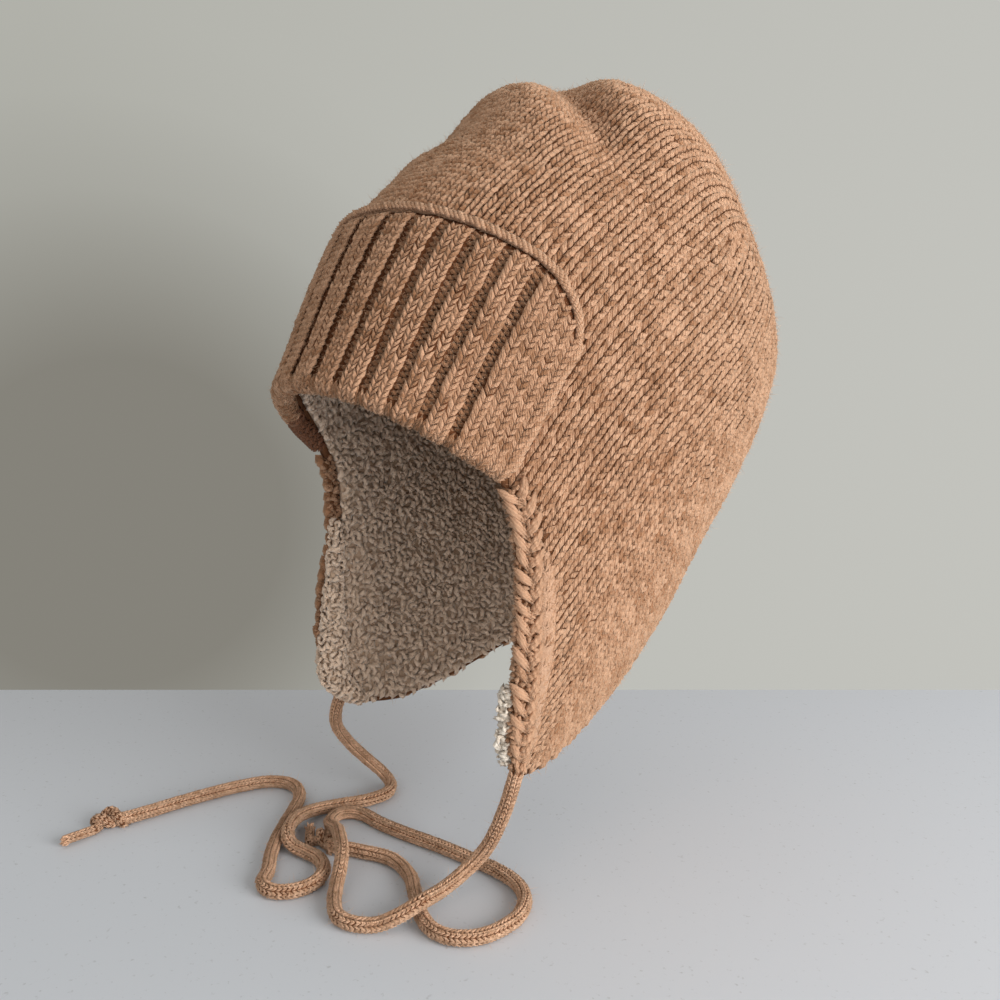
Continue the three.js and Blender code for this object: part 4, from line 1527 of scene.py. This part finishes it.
    def places(self, raised: bool) -> Stitches:
        """Stitches on the ribs and end bands, or the bumps between the ribs."""
        rng = np.random.default_rng(SEED + 5)
        edge = CUFF.side_angle - CUFF.band
        angles = []
        for k in range(-7, 8):
            for s in (-0.5, 0.5) if raised else (-0.32, 0.32):
                centre = k * RIB_PERIOD + s * self.wale + (0 if raised else RIB_PERIOD / 2)
                if abs(centre) < edge - (0 if raised else 1):
                    angles.append(centre)
        if raised:
            angles += [*self.band_angles(), *-self.band_angles()]
        parts = {key: [] for key in ("at", "across", "along", "size", "tone")}
        for angle in angles:
            top = float(FORM.cuff_top(np.array([angle]))[0])
            fine = np.linspace(CUFF.fold_row + 0.02, top - 0.03, 90)
            up = (fine - CUFF.fold_row) / (top - CUFF.fold_row)
            line = FORM.point(np.full(90, angle), fine, self.face(np.full(90, angle), up))
            length = run_length(line)
            course = self.course * (1.0 if raised else 0.9)
            first = 0.5 + 0.5 * (len(parts["at"]) % 2) * (not raised)
            steps = np.arange(first, length[-1] / (course * MM), 1.0) * course * MM
            row = np.interp(steps, length, fine)
            share = np.interp(row, fine, up)
            turned = np.full(len(row), angle)
            height = self.face(turned, share)
            parts["at"].append(FORM.point(turned, row, height - 0.3))
            beside = FORM.point(turned + 0.5, row, height) - FORM.point(turned - 0.5, row, height)
            parts["across"].append(beside)
            step = 0.02
            ahead = FORM.point(turned, row + step, self.face(turned, share + 0.01))
            parts["along"].append(ahead - FORM.point(turned, row - step, self.face(turned, share - 0.01)))
            across = FORM.point(turned + 0.5, row) - FORM.point(turned - 0.5, row)
            width = np.linalg.norm(across, axis=1) * self.wale * (1.04 if raised else 0.85)
            tall, deep = np.full(len(row), course * MM), np.full(len(row), self.thickness * MM)
            size = np.stack([width * 1.06, tall, deep], axis=1)
            parts["size"].append(size * rng.normal(1.0, 0.09, (len(row), 1)))
            # Painted shade: the tone is darker at the cuff's right end and on the purl bumps down in the
            # grooves.
            shade = self.far_shade(angle) + (0 if raised else 1.3)
            parts["tone"].append(rng.normal(0, 0.5, len(row)) - shade)
        whole = {key: np.concatenate(values) for key, values in parts.items()}
        return Stitches(**whole)

    def edging(self) -> bpy.types.Object:
        """The smooth rolled edge round the cuff's free sides."""
        share = np.linspace(0, 1, 150)
        side_part, side = 0.16, CUFF.side_angle + 0.9
        foot, shoulder = CUFF.fold_row + 0.1, float(FORM.cuff_top(np.array([CUFF.side_angle]))[0])
        along = np.clip((share - side_part) / (1 - 2 * side_part), 0, 1)
        angle = -side * np.cos(np.pi * along)
        row = FORM.cuff_top(np.clip(angle, -CUFF.side_angle, CUFF.side_angle)) + 0.05
        row = np.where(share < side_part, foot + (shoulder - foot) * share / side_part, row)
        row = np.where(share > 1 - side_part, foot + (shoulder - foot) * (1 - share) / side_part, row)
        lift = GAP + CUFF_THICK * 0.62
        centre = FORM.point(angle, row, lift)
        ahead = unit(np.gradient(centre, axis=0))
        out = FORM.outward(angle, row)
        wide = unit(np.cross(out, ahead))
        thick = np.cross(ahead, wide)
        swell = 1 + 0.08 * np.sin(np.arange(len(share)) * 2.1)
        half_wide = wide * (EDGING_RADIUS * 0.85 * MM * swell)[:, None]
        half_thick = thick * (EDGING_RADIUS * 1.6 * MM * swell)[:, None]
        points, faces = tube_mesh(centre, half_wide, half_thick, 12)
        core = mesh_object("edging_roll", points, faces, CAMEL.material())
        line = run_length(centre)
        steps = np.arange(0.3, line[-1] / (self.strand_step * MM)) * self.strand_step * MM
        at, side_way, up = (sampled(steps, line, values) for values in (centre, wide, thick))
        rng = np.random.default_rng(SEED + 7)
        size = np.array([4.1, self.strand_step * 1.25, 2.0]) * MM * rng.normal(1, 0.1, (len(steps), 1))
        along = np.cross(up, side_way)
        tone = rng.normal(0.6, 0.5, len(steps))
        places = Stitches(at + up * EDGING_RADIUS * 0.75 * MM, side_way, along, size, tone)
        strands = lay_stitches("edging_strands", places, Shapes.roll_strand(), CAMEL)
        return join([core, strands], "edging_roll")

    def build(self) -> list[bpy.types.Object]:
        """Builds the wall, its stitches and the edging.

        Returns:
            The pieces.
        """
        rolled, far = self.roll_stitches()
        made = [ride(self.wall(), "rib_knit", "front_cuff")]
        rib = Shapes.rib_stitch()
        for piece in (
            lay_stitches("cuff_stitches", self.places(True), rib, RIB),
            lay_stitches("cuff_purl_bumps", self.places(False), Shapes.purl_bump(), RIB),
            self.roll(),
            # The stitches in the roll's shaded right end take the rib yarn in painted shade.
            lay_stitches("brow_roll_stitches", rolled, rib, RIB, ~far),
            lay_stitches("brow_roll_stitches_right", rolled, rib, RIB_FAR_SHADE, far),
        ):
            made.append(ride(piece, "rib_knit"))
        made.append(ride(self.edging(), "camel_knit", "cuff_edging"))
        return made


@dataclass
class TrimLine:
    """The trim's middle line, its directions and its share of full width at each point."""

    centre: np.ndarray
    across: np.ndarray
    out: np.ndarray
    share: np.ndarray


@dataclass
class FaceTrim:
    """The chunky chain-stitch trim down a flap's face edge."""

    side: Side
    width: float = 12.8
    thick: float = 5.6
    link: float = 7.0
    strip_offset: float = 6.6
    strip_half: float = 4.6
    strip_thick: float = 1.55
    to_front: float = 0.4
    pushed: tuple[float, float, float] = (-2.6, -6.2, 0.0)
    pushed_at: float = 94.0
    pushed_spread: float = 9.5
    cord_root: tuple[float, float, float] = (64.0, -63.5, 57.0)

    def path(self, count: int) -> TrimLine:
        """Line of the trim from under the cuff to the cord.

        Args:
            count: number of points before the trim narrows to the cord.

        Returns:
            The line.
        """
        angle = np.linspace(TRIM.from_angle - 5.0, TRIM.to_angle + 1.0, count)
        turned = self.side.value * (angle + TRIM.centre)
        row = FORM.opening_row(angle)
        centre = FORM.point(turned, row, -0.6)
        if self.side is Side.RIGHT:
            from_push = angle + TRIM.centre - self.pushed_at
            swell = np.exp(-((from_push / self.pushed_spread) ** 2))[:, None]
            centre = centre + np.array(self.pushed) * MM * swell
        outward = FORM.outward(turned, row) + np.array([0.0, -self.to_front, 0.0])
        root = to_frame(np.array(self.cord_root) * [self.side.value, 1, 1])
        share = np.linspace(0, 1, 9)[1:, None]
        end = centre[-1] * (1 - share) + root * share
        centre = TieCord.even(np.vstack([centre, end]), 1.5 * MM)
        outward = unit(np.vstack([outward, np.repeat(outward[-1:], 8, axis=0)]))
        place = np.linspace(0, len(outward) - 1, len(centre))
        outward = sampled(place, np.arange(len(outward)), outward)
        ahead = unit(np.gradient(centre, axis=0))
        across = unit(np.cross(outward, ahead))
        left = np.linalg.norm(centre - root, axis=1) / MM
        share = np.clip(0.4 + 0.6 * left / 17.0, 0, 1)
        return TrimLine(centre, across, np.cross(ahead, across), share)

    def tube(
        self, name: str, line: TrimLine, wide: float, thick: float, material: bpy.types.Material | None
    ) -> bpy.types.Object:
        """A closed tube along the trim.

        Args:
            name: the object's name.
            line: the trim's line.
            wide: its half width as a share of the trim's width.
            thick: its half thickness as a share of the trim's thickness.
            material: its finish, or None.

        Returns:
            The tube.
        """
        half_wide = line.across * (self.width * wide * MM * line.share)[:, None]
        half_thick = line.out * (self.thick * thick * MM * line.share)[:, None]
        points, faces = tube_mesh(line.centre, half_wide, half_thick, 12)
        return mesh_object(name, points, faces, material)

    def loops(self, line: TrimLine) -> bpy.types.Object:
        """Small loops over the trim's sides and back."""
        field = self.tube("loop_field", line, 0.4, 0.37, None)
        name = f"trim_loops_{self.side.word}"
        return scatter(name, field, Shapes.purl_bump(), RIB, 1.8, 0.5, (1.9, 2.7), SEED + 60)

    def felt_strip(self) -> bpy.types.Object:
        """The smooth felted strip between the trim and the knit."""
        angle = np.linspace(TRIM.from_angle + 2.0, TRIM.to_angle - 1.0, 70)
        row = FORM.opening_row(angle)
        turned = self.side.value * (angle + TRIM.centre + self.strip_offset)
        centre = FORM.point(turned, row, -1.1)
        ahead = unit(np.gradient(centre, axis=0))
        across = unit(np.cross(FORM.outward(turned, row), ahead))
        share = np.linspace(0, 1, len(angle))
        fade = np.sqrt(np.clip(np.minimum(share / 0.2, (1 - share) / 0.12), 0.02, 1))[:, None]
        thick = np.cross(ahead, across) * self.strip_thick * MM
        points, faces = tube_mesh(centre, across * self.strip_half * MM * fade, thick * fade, 14)
        return mesh_object(f"felt_strip_{self.side.word}", points, faces, FELTED.material())

    def build(self) -> list[bpy.types.Object]:
        """Builds the trim's core, its links and the felted strip behind it.

        Returns:
            The pieces.
        """
        word = self.side.word
        line = self.path(60)
        # The trim's core is darkened as painted shade under its links.
        core = self.tube(f"trim_core_{word}", line, 0.4, 0.34, CAMEL_SHADE.material())
        length = run_length(line.centre)
        steps = np.arange(0.3, length[-1] / (self.link * MM), 1.0) * self.link * MM
        rng = np.random.default_rng(SEED + self.side.value)
        at, side_way, face = (
            sampled(steps, length, values) for values in (line.centre, line.across, line.out)
        )
        narrow = np.interp(steps, length, line.share)[:, None]
        up = unit(np.cross(face, side_way)) + side_way * rng.normal(0, 0.17, (len(steps), 1))
        if np.mean(up[:, 2]) < 0:
            up, side_way = -up, -side_way
        size = np.array([self.width * 0.98, self.link, self.thick * 0.62]) * MM
        size = size * rng.normal(1, 0.1, (len(steps), 1))
        size *= np.hstack([narrow, np.ones_like(narrow), narrow])
        # The right trim's links are painted darker, as shade on the far flap.
        tone = rng.normal(1.1, 0.6, len(steps)) - (2.6 if self.side is Side.RIGHT else 0.0)
        places = Stitches(at + face * 1.9 * MM * narrow, side_way, up, size, tone)
        braid = lay_stitches(f"trim_links_{word}", places, Shapes.braid_link(), CAMEL)
        field = self.tube("trim_fuzz_field", line, 0.46, 0.52, None)
        coat = Fuzz().coat(f"trim_nap_{word}", field, Nap(2.9, 1.3, 1.15), "camel_knit", SEED + 62)
        made = [coat, ride(core, "camel_knit", f"face_trim_{word}")]
        made += [ride(piece, "camel_knit") for piece in (braid, self.loops(line), self.felt_strip())]
        return made


@dataclass
class TieCord:
    """A round knitted tie cord with its knot and frayed tail."""

    side: Side
    route: tuple
    knot: tuple[float, float, float]
    tail: tuple[float, float, float]
    wales: int = 7
    course: float = 1.95
    knot_thick: float = 3.9
    knot_radius: float = 2.3
    knot_reach: float = 15.5
    knot_nodes: int = 72
    knot_sink: float = 0.2
    knot_steps: int = 420

    def centreline(self) -> np.ndarray:
        """Points of a centripetal curve through the route, half a millimetre apart."""
        given = to_frame(np.array(self.route, float))
        ends = np.vstack([2 * given[0] - given[1], given, 2 * given[-1] - given[-2]])
        pieces = []
        for a, b, c, d in zip(ends[:-3], ends[1:-2], ends[2:-1], ends[3:]):
            t0 = 0.0
            t1 = t0 + np.linalg.norm(b - a) ** 0.5
            t2 = t1 + np.linalg.norm(c - b) ** 0.5
            t3 = t2 + np.linalg.norm(d - c) ** 0.5
            t = np.linspace(t1, t2, 24, endpoint=False)[:, None]
            ab = (t1 - t) / (t1 - t0) * a + (t - t0) / (t1 - t0) * b
            bc = (t2 - t) / (t2 - t1) * b + (t - t1) / (t2 - t1) * c
            cd = (t3 - t) / (t3 - t2) * c + (t - t2) / (t3 - t2) * d
            abc = (t2 - t) / (t2 - t0) * ab + (t - t0) / (t2 - t0) * bc
            bcd = (t3 - t) / (t3 - t1) * bc + (t - t1) / (t3 - t1) * cd
            pieces.append((t2 - t) / (t2 - t1) * abc + (t - t1) / (t2 - t1) * bcd)
        line = np.vstack([*pieces, given[-1:]])
        return self.even(line, 0.5 * MM)

    @staticmethod
    def even(line: np.ndarray, step: float) -> np.ndarray:
        """The same line with its points evenly spaced."""
        length = run_length(line)
        return sampled(np.linspace(0, length[-1], max(4, round(length[-1] / step))), length, line)

    @staticmethod
    def frames(line: np.ndarray) -> tuple[np.ndarray, np.ndarray, np.ndarray]:
        """Directions ahead, aside and up that turn with a line without twisting."""
        ahead = unit(np.gradient(line, axis=0))
        aside = np.zeros_like(line)
        aside[0] = unit(np.cross(ahead[0], [0.3, 0.1, 1.0]))
        for i in range(1, len(line)):
            carried = aside[i - 1] - ahead[i] * np.dot(aside[i - 1], ahead[i])
            aside[i] = carried / np.linalg.norm(carried)
        return ahead, aside, np.cross(ahead, aside)

    def knitted(self, line: np.ndarray, radius: np.ndarray, name: str, seed: int) -> bpy.types.Object:
        """A knitted round cord along a line: a core, darkened as painted shade, with stitches laid round it.

        Args:
            line: evenly spaced points.
            radius: outer radius at each point, in metres.
            name: the piece's name.
            seed: seed of its small irregularities.

        Returns:
            One closed mesh.
        """
        ahead, aside, up = self.frames(line)
        core = 0.8 * radius[::3, None]
        points, faces = tube_mesh(line[::3], aside[::3] * core, up[::3] * core, 8)
        body = mesh_object(name, points, faces, CORD_SHADE.material())
        total = np.linalg.norm(np.diff(line, axis=0), axis=1).sum()
        count = int(total / (self.course * MM))
        index = (np.arange(count) + 0.5) * (len(line) - 1) / count
        rng = np.random.default_rng(seed)
        base = index.astype(int)
        turn = 2 * np.pi * np.arange(self.wales) / self.wales
        twist = index[:, None] * 0.0022
        c, s = np.cos(turn[None] + twist)[..., None], np.sin(turn[None] + twist)[..., None]
        out = c * aside[base][:, None] + s * up[base][:, None]
        across = -s * aside[base][:, None] + c * up[base][:, None]
        girth = np.repeat(radius[base], self.wales)
        at = line[base][:, None] + out * (radius[base] * 0.81)[:, None, None]
        along = -np.repeat(ahead[base][:, None], self.wales, axis=1)
        tall = np.full(len(girth), self.course * MM)
        size = np.stack([2 * np.pi * girth / self.wales, tall, girth * 0.2], axis=1)
        size *= rng.normal(1, 0.06, (len(girth), 1))
        at, across, along = (values.reshape(-1, 3) for values in (at, across, along))
        places = Stitches(at, -across, along, size, rng.normal(0, 0.5, len(girth)))
        stitches = lay_stitches(f"{name}_stitches", places, Shapes.cord_stitch(), CORD)
        return join([body, stitches], name)

    def knot_line(self, start: np.ndarray) -> np.ndarray:
        """Centreline of an overhand knot pulled tight, lying on the table.

        An open loose knot is shortened step by step, and strands that come nearer to each other than
        the cord's thickness are pushed apart.

        Args:
            start: the point of the cord where the knot begins, in metres.

        Returns:
            Points in metres, from the cord to the tail.
        """
        thick, floor = self.knot_thick * MM, -HEAD_TOP[2] * MM + self.knot_radius * MM
        centre = to_frame(np.array([self.knot]))[0]
        ahead = unit((centre - start) * [1, 1, 0])
        finish = start + ahead * self.knot_reach * MM
        finish[2] = floor + 0.2 * MM
        aside = np.array([-ahead[1], ahead[0], 0.0])
        t = np.linspace(-2.25, 2.25, self.knot_nodes)[:, None]
        up = np.array([0, 0, 1.0])
        loose = 4.0 * (t**3 - 3 * t) * ahead + 2.6 * (t**4 - 4 * t**2) * aside - 0.7 * (t**5 - 10 * t) * up
        line = np.vstack([start, (start + finish) / 2 + (loose + 8 * up) * MM, finish])
        order = np.abs(np.subtract.outer(np.arange(self.knot_nodes), np.arange(self.knot_nodes)))
        for _ in range(self.knot_steps):
            length = run_length(line)
            places = np.linspace(0, length[-1], self.knot_nodes)
            line = sampled(places, length, line)
            line[1:-1] += 0.25 * (line[:-2] + line[2:] - 2 * line[1:-1])
            line[1:-1, 2] -= self.knot_sink * MM
            apart = order > 1.35 * thick / places[1]
            for _ in range(2):
                between = line[:, None] - line[None]
                gap = np.linalg.norm(between, axis=2) + 1e-9
                touching = apart & (gap < thick)
                push = np.where(touching, (thick - gap) / gap * 0.5, 0.0)
                move = (between * push[..., None]).sum(axis=1) / np.maximum(1, touching.sum(axis=1))[:, None]
                line[1:-1] += move[1:-1]
            line[1:-1, 2] = np.maximum(line[1:-1, 2], floor)
        return self.even(line, 0.5 * MM)

    def tail_end(self, knot: np.ndarray) -> bpy.types.Object:
        """The cord's short end past the knot, with frayed yarn at its tip.

        Args:
            knot: the knot's centreline.

        Returns:
            The tail as one piece.
        """
        rng = np.random.default_rng(SEED + 20 + self.side.value)
        tip = to_frame(np.array([self.tail]))[0]
        line = self.even(np.vstack([knot[-3], knot[-1], tip]), 0.5 * MM)
        radius = np.full(len(line), self.knot_radius * MM)
        body = self.knitted(line, radius, f"tail_{self.side.word}", SEED + 32)
        ahead = unit(line[-1] - line[0])
        aside = unit(np.cross(ahead, [0, 0, 1]))
        up = np.cross(aside, ahead)
        strands = []
        for _ in range(40):
            a, r = rng.uniform(0, 2 * np.pi), rng.uniform(0.05, 1.0) ** 0.5
            spread = (aside * math.cos(a) + up * math.sin(a)) * r
            foot = line[-1] - ahead * 1.5 * MM + spread * 2.1 * MM
            end = foot + ahead * rng.uniform(2.2, 4.6) * MM + spread * rng.uniform(-0.4, 0.9) * MM
            bend = (foot + end) / 2 + rng.normal(0, 0.3 * MM, 3)
            strands.append(Shapes.strand(foot, bend, end, 0.42 * MM, 0.42 * MM, 4, 2))
        frayed = mesh_object("frayed_end", *merged(strands), CORD.material())
        return join([body, frayed], f"tail_{self.side.word}")

    def build(self) -> list[bpy.types.Object]:
        word = self.side.word
        line = self.centreline()
        cord = self.knitted(line, np.full(len(line), CORD_RADIUS * MM), f"cord_{word}", SEED + 30)
        pulled = self.knot_line(line[-8])
        share = np.clip(np.arange(len(pulled)) / 12, 0, 1)
        radius = (CORD_RADIUS * 0.97 * (1 - share) + self.knot_radius * share) * MM
        knot = self.knitted(pulled, radius, f"knot_{word}", SEED + 31)
        tail = self.tail_end(pulled)
        ride(cord, "cord_knit", f"tie_cord_{word}")
        ride(knot, "cord_knit", f"tie_knot_{word}")
        ride(tail, "cord_knit", f"tie_tail_{word}")
        return [cord, knot, tail]

    def fibre_field(self) -> bpy.types.Object:
        """The cord's own surface, for its loose fibres."""
        line = self.centreline()[::5]
        _, aside, up = self.frames(line)
        points, faces = tube_mesh(line, aside * CORD_RADIUS * MM * 0.85, up * CORD_RADIUS * MM * 0.85, 9)
        return mesh_object("cord_fuzz_field", points, faces, None)


def join(objects: list[bpy.types.Object], name: str) -> bpy.types.Object:
    """Joins objects into the first one."""
    bpy.ops.object.select_all(action="DESELECT")
    for obj in objects:
        obj.select_set(True)
    bpy.context.view_layer.objects.active = objects[0]
    bpy.ops.object.join()
    objects[0].name = name
    return objects[0]


@dataclass(frozen=True)
class Nap:
    """One coat of loose fibres: their length, spacing and lean."""

    length: float
    spacing: float
    lean: float
    bent: bool = False


@dataclass
class Fuzz:
    """The halo of loose fibres over the knit."""

    crown_nap: Nap = Nap(3.3, 1.62, 1.08)
    crown_hairs: Nap = Nap(5.5, 6.5, 1.2, True)
    cuff_nap: Nap = Nap(2.8, 1.5, 1.05)
    cord_nap: Nap = Nap(2.1, 1.15, 1.1)
    cord_hairs: Nap = Nap(4.4, 2.8, 1.1, True)

    def coat(
        self, name: str, field: bpy.types.Object, nap: Nap, slot: str, seed: int, finish: Wool = FUZZ
    ) -> bpy.types.Object:
        """Scatters one coat over a field.

        Args:
            name: the piece's name.
            field: surface whose faces point outward; it is removed.
            nap: the coat.
            slot: the material slot, which is not used.
            seed: the scatter's seed.
            finish: the fibres' finish.

        Returns:
            The coat as one plain mesh.
        """
        sizes = (nap.length * 0.5, nap.length * 1.35)
        made = scatter(name, field, Shapes.fibre(nap.bent), finish, nap.spacing, nap.lean, sizes, seed)
        return ride(made, slot)

    def crown_field(self, side: Side) -> bpy.types.Object:
        """One half of the crown's face."""
        angle = np.linspace(0, 180, 61) * side.value
        start = FORM.knit_start(angle)
        share = np.linspace(0, 1, 60)
        rows = start[:, None] + (CLOSING_ROW - 0.1 - start[:, None]) * share[None]
        return sheet("fuzz_field", angle, rows, 0.1, flipped=side is Side.RIGHT)

    def cuff_field(self) -> bpy.types.Object:
        """The cuff's face and the brow fold's outside."""
        angle = np.linspace(-44.0, CUFF.side_angle, 80)
        share = np.linspace(0, 1, 24)
        top = FORM.cuff_top(angle)
        rows = CUFF.fold_row + (top - CUFF.fold_row)[:, None] * share[None]
        return sheet("cuff_fuzz_field", angle, rows, GAP + CUFF_THICK - 0.3, flipped=False)

    def build(self, cords: list[TieCord]) -> list[bpy.types.Object]:
        """Scatters fibres over the crown, the cuff and the cords.

        Args:
            cords: the tie cords.

        Returns:
            The coats.
        """
        made = []
        for cord in cords:
            for label, nap in (("nap", self.cord_nap), ("hairs", self.cord_hairs)):
                name = f"cord_{label}_{cord.side.word}"
                made.append(self.coat(name, cord.fibre_field(), nap, "cord_knit", SEED + 43, CORD_FUZZ))
        for side in Side:
            for label, nap, seed in (("nap", self.crown_nap, 40), ("hairs", self.crown_hairs, 41)):
                name = f"crown_{label}_{side.word}"
                made.append(self.coat(name, self.crown_field(side), nap, "camel_knit", SEED + seed))
        made.append(self.coat("cuff_nap", self.cuff_field(), self.cuff_nap, "rib_knit", SEED + 42))
        return made


@dataclass
class Tufts:
    """Loose pile at the left flap's front edge, near its tip, its cream whitened as painted light."""

    count: int = 170
    from_angle: float = 93.0
    to_angle: float = 110.0

    def build(self) -> bpy.types.Object:
        """Lays curls of pile along the edge."""
        rng = np.random.default_rng(SEED + 50)
        angle = rng.uniform(self.from_angle, self.to_angle, self.count)
        row = FORM.opening_row(angle) + rng.uniform(-0.02, 0.1, self.count)
        depth = rng.uniform(-7.6, -3.6, self.count)
        at = FORM.point(angle - rng.uniform(0, 1.6, self.count), row, depth)
        across = rng.normal(size=(self.count, 3))
        along = rng.normal(size=(self.count, 3)) - [0, 0, 1.6]
        size = np.full((self.count, 3), 3.9 * MM) * rng.uniform(0.7, 1.25, (self.count, 1))
        places = Stitches(at, across, along, size, rng.normal(0, 0.5, self.count))
        return ride(lay_stitches("edge_tufts", places, Shapes.curl(), TUFT_LIT), "cream_pile")


@dataclass
class Studio:
    """The camera at the photograph's angle, the pale floor and the soft lights."""

    lens: float = 35.316
    sensor: float = 36.0
    frame_width: float = 1000.0
    place: tuple[float, float, float] = (0.3399, -0.3445, -0.0455)
    azimuth: float = 46.0
    elevation: float = 10.1
    table_far: float = 0.154
    table_reach: float = 3.0
    ambient: float = 0.46

    @property
    def back(self) -> Vector:
        """Direction from the hat to the camera."""
        a, e = math.radians(self.azimuth), math.radians(self.elevation)
        return Vector((math.sin(a) * math.cos(e), -math.cos(a) * math.cos(e), math.sin(e)))

    def camera(self) -> None:
        """Makes the camera."""
        data = bpy.data.cameras.new("camera")
        data.lens = self.lens
        camera = link(bpy.data.objects.new("camera", data))
        camera.location = self.place
        camera.rotation_mode = "QUATERNION"
        camera.rotation_quaternion = (-self.back).to_track_quat("-Z", "Y")
        bpy.context.scene.camera = camera

    def area(
        self, name: str, place: tuple, target: tuple, size: float, power: float, colour: tuple
    ) -> None:
        """Makes one soft area light."""
        data = bpy.data.lights.new(name, "AREA")
        data.shape = "DISK"
        data.size = size
        data.energy = power
        data.color = colour
        lamp = link(bpy.data.objects.new(name, data))
        lamp.visible_camera = False
        lamp.location = place
        lamp.rotation_mode = "QUATERNION"
        lamp.rotation_quaternion = (Vector(target) - Vector(place)).to_track_quat("-Z", "Y")

    def floor(self) -> None:
        """Makes the pale table top, with its far edge behind the hat as the camera sees it."""
        a = math.radians(self.azimuth)
        away = np.array([-math.sin(a), math.cos(a), 0.0])
        aside = np.array([math.cos(a), math.sin(a), 0.0]) * self.table_reach
        low = np.array([0.0, 0.0, -HEAD_TOP[2] * MM])
        far, near = low + away * self.table_far, low - away * self.table_reach
        corners = [far - aside, far + aside, near + aside, near - aside]
        paint = bpy.data.materials.new("pale table")
        paint.use_nodes = True
        nodes, links = paint.node_tree.nodes, paint.node_tree.links
        shader = nodes["Principled BSDF"]
        place, speck = nodes.new("ShaderNodeTexCoord"), nodes.new("ShaderNodeTexNoise")
        ramp = colour_ramp(nodes, ((0.2, (0.5, 0.53, 0.57)), (0.34, (0.66, 0.7, 0.76))))
        speck.inputs["Scale"].default_value = 420.0
        wire(links, place, "Object", speck, "Vector")
        wire(links, speck, "Fac", ramp, "Fac")
        wire(links, ramp, "Color", shader, "Base Color")
        shader.inputs["Roughness"].default_value = 0.6
        mesh_object("table_top", np.array(corners), [[0, 3, 2, 1]], paint)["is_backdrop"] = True

    def direction(self, px: float, py: float) -> tuple[float, float, float]:
        """Direction from the camera through a point of the thousand-pixel frame."""
        a, back = math.radians(self.azimuth), self.back
        right = Vector((math.cos(a), math.sin(a), 0))
        focal = self.lens / self.sensor * self.frame_width
        middle = self.frame_width / 2
        ray = -back + right * ((px - middle) / focal) - back.cross(right) * ((py - middle) / focal)
        return tuple(ray.normalized())

    def backdrop(self) -> None:
        """Makes the wall's tone, with painted light that brightens it to the right and a painted shadow of
        the hat on its left, and the light from all round.
        """
        world = bpy.data.worlds.new("studio")
        world.use_nodes = True
        nodes, links = world.node_tree.nodes, world.node_tree.links
        seen = nodes["Background"]
        lit, choose = nodes.new("ShaderNodeBackground"), nodes.new("ShaderNodeMixShader")
        path, ray = nodes.new("ShaderNodeLightPath"), nodes.new("ShaderNodeTexCoord")
        shade_stops = ((0.9, 0.0), (0.926, 0.06), (0.9536, 0.3), (0.9736, 0.68), (0.9885, 1.0))
        tones = []
        for towards, stops in (
            (self.direction(120, 520), shade_stops),
            (self.direction(1500, 500), ((0.3, 0.0), (0.95, 1.0))),
        ):
            facing = nodes.new("ShaderNodeVectorMath")
            ramp = colour_ramp(nodes, [(position, (value,) * 3) for position, value in stops])
            facing.operation = "DOT_PRODUCT"
            facing.inputs[1].default_value = towards
            wire(links, ray, "Generated", facing, 0)
            wire(links, facing, "Value", ramp, "Fac")
            tones.append(ramp)
        wall, shaded = nodes.new("ShaderNodeMix"), nodes.new("ShaderNodeMix")
        for mix, share, low, high in (
            (wall, tones[1], (0.44, 0.44, 0.4, 1), (0.545, 0.545, 0.51, 1)),
            (shaded, tones[0], None, (0.235, 0.225, 0.195, 1)),
        ):
            mix.data_type = "RGBA"
            if low:
                live(mix.inputs, "A").default_value = low
            live(mix.inputs, "B").default_value = high
            wire(links, share, "Color", mix, "Factor")
        wire(links, wall, "Result", shaded, "A")
        wire(links, shaded, "Result", seen, "Color")
        lit.inputs["Color"].default_value = (1.0, 0.97, 0.91, 1)
        lit.inputs["Strength"].default_value = self.ambient
        wire(links, path, "Is Camera Ray", choose, "Fac")
        wire(links, lit, "Background", choose, 1)
        wire(links, seen, "Background", choose, 2)
        links.new(choose.outputs["Shader"], nodes["World Output"].inputs["Surface"])
        bpy.context.scene.world = world
        bpy.context.scene.view_settings.view_transform = "Standard"

    def build(self) -> None:
        """Builds all of it."""
        self.camera()
        self.floor()
        self.backdrop()
        self.area("key", (1.25, 0.12, 0.14), (0, 0, -0.08), 1.0, 19.0, (1.0, 0.985, 0.96))
        self.area("front fill", (0.5, -1.2, 0.1), (0, 0, -0.12), 1.2, 2.5, (1.0, 0.98, 0.96))


def main() -> None:
    """Builds the studio and every piece in order."""
    logging.basicConfig(level=logging.INFO, format="%(message)s")
    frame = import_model()
    log.info("solids in the frame: %d", len(frame["nodes"]))
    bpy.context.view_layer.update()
    Studio().build()
    cords = [
        TieCord(Side.LEFT, LEFT_ROUTE, (-30.8, -102.4, 5.8), (-43.8, -97.8, 3.4)),
        TieCord(Side.RIGHT, RIGHT_ROUTE, (-117.2, -169.2, 5.8), (-116, -188, 3.4)),
    ]
    for cord in cords:
        cord.build()
    Crown().build()
    Lining().build()
    Cuff().build()
    for side in Side:
        FaceTrim(side).build()
    Tufts().build()
    Fuzz().build(cords)
    for spare in [obj for obj in bpy.data.objects if obj.name.endswith("_shape")]:
        bpy.data.objects.remove(spare)
    shown = [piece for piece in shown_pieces() if piece.type == "MESH"]
    triangles = {p.name: sum(len(f.vertices) - 2 for f in p.data.polygons) for p in shown}
    log.info("triangles %s, total %d", triangles, sum(triangles.values()))


if __name__ == "__main__":
    main()
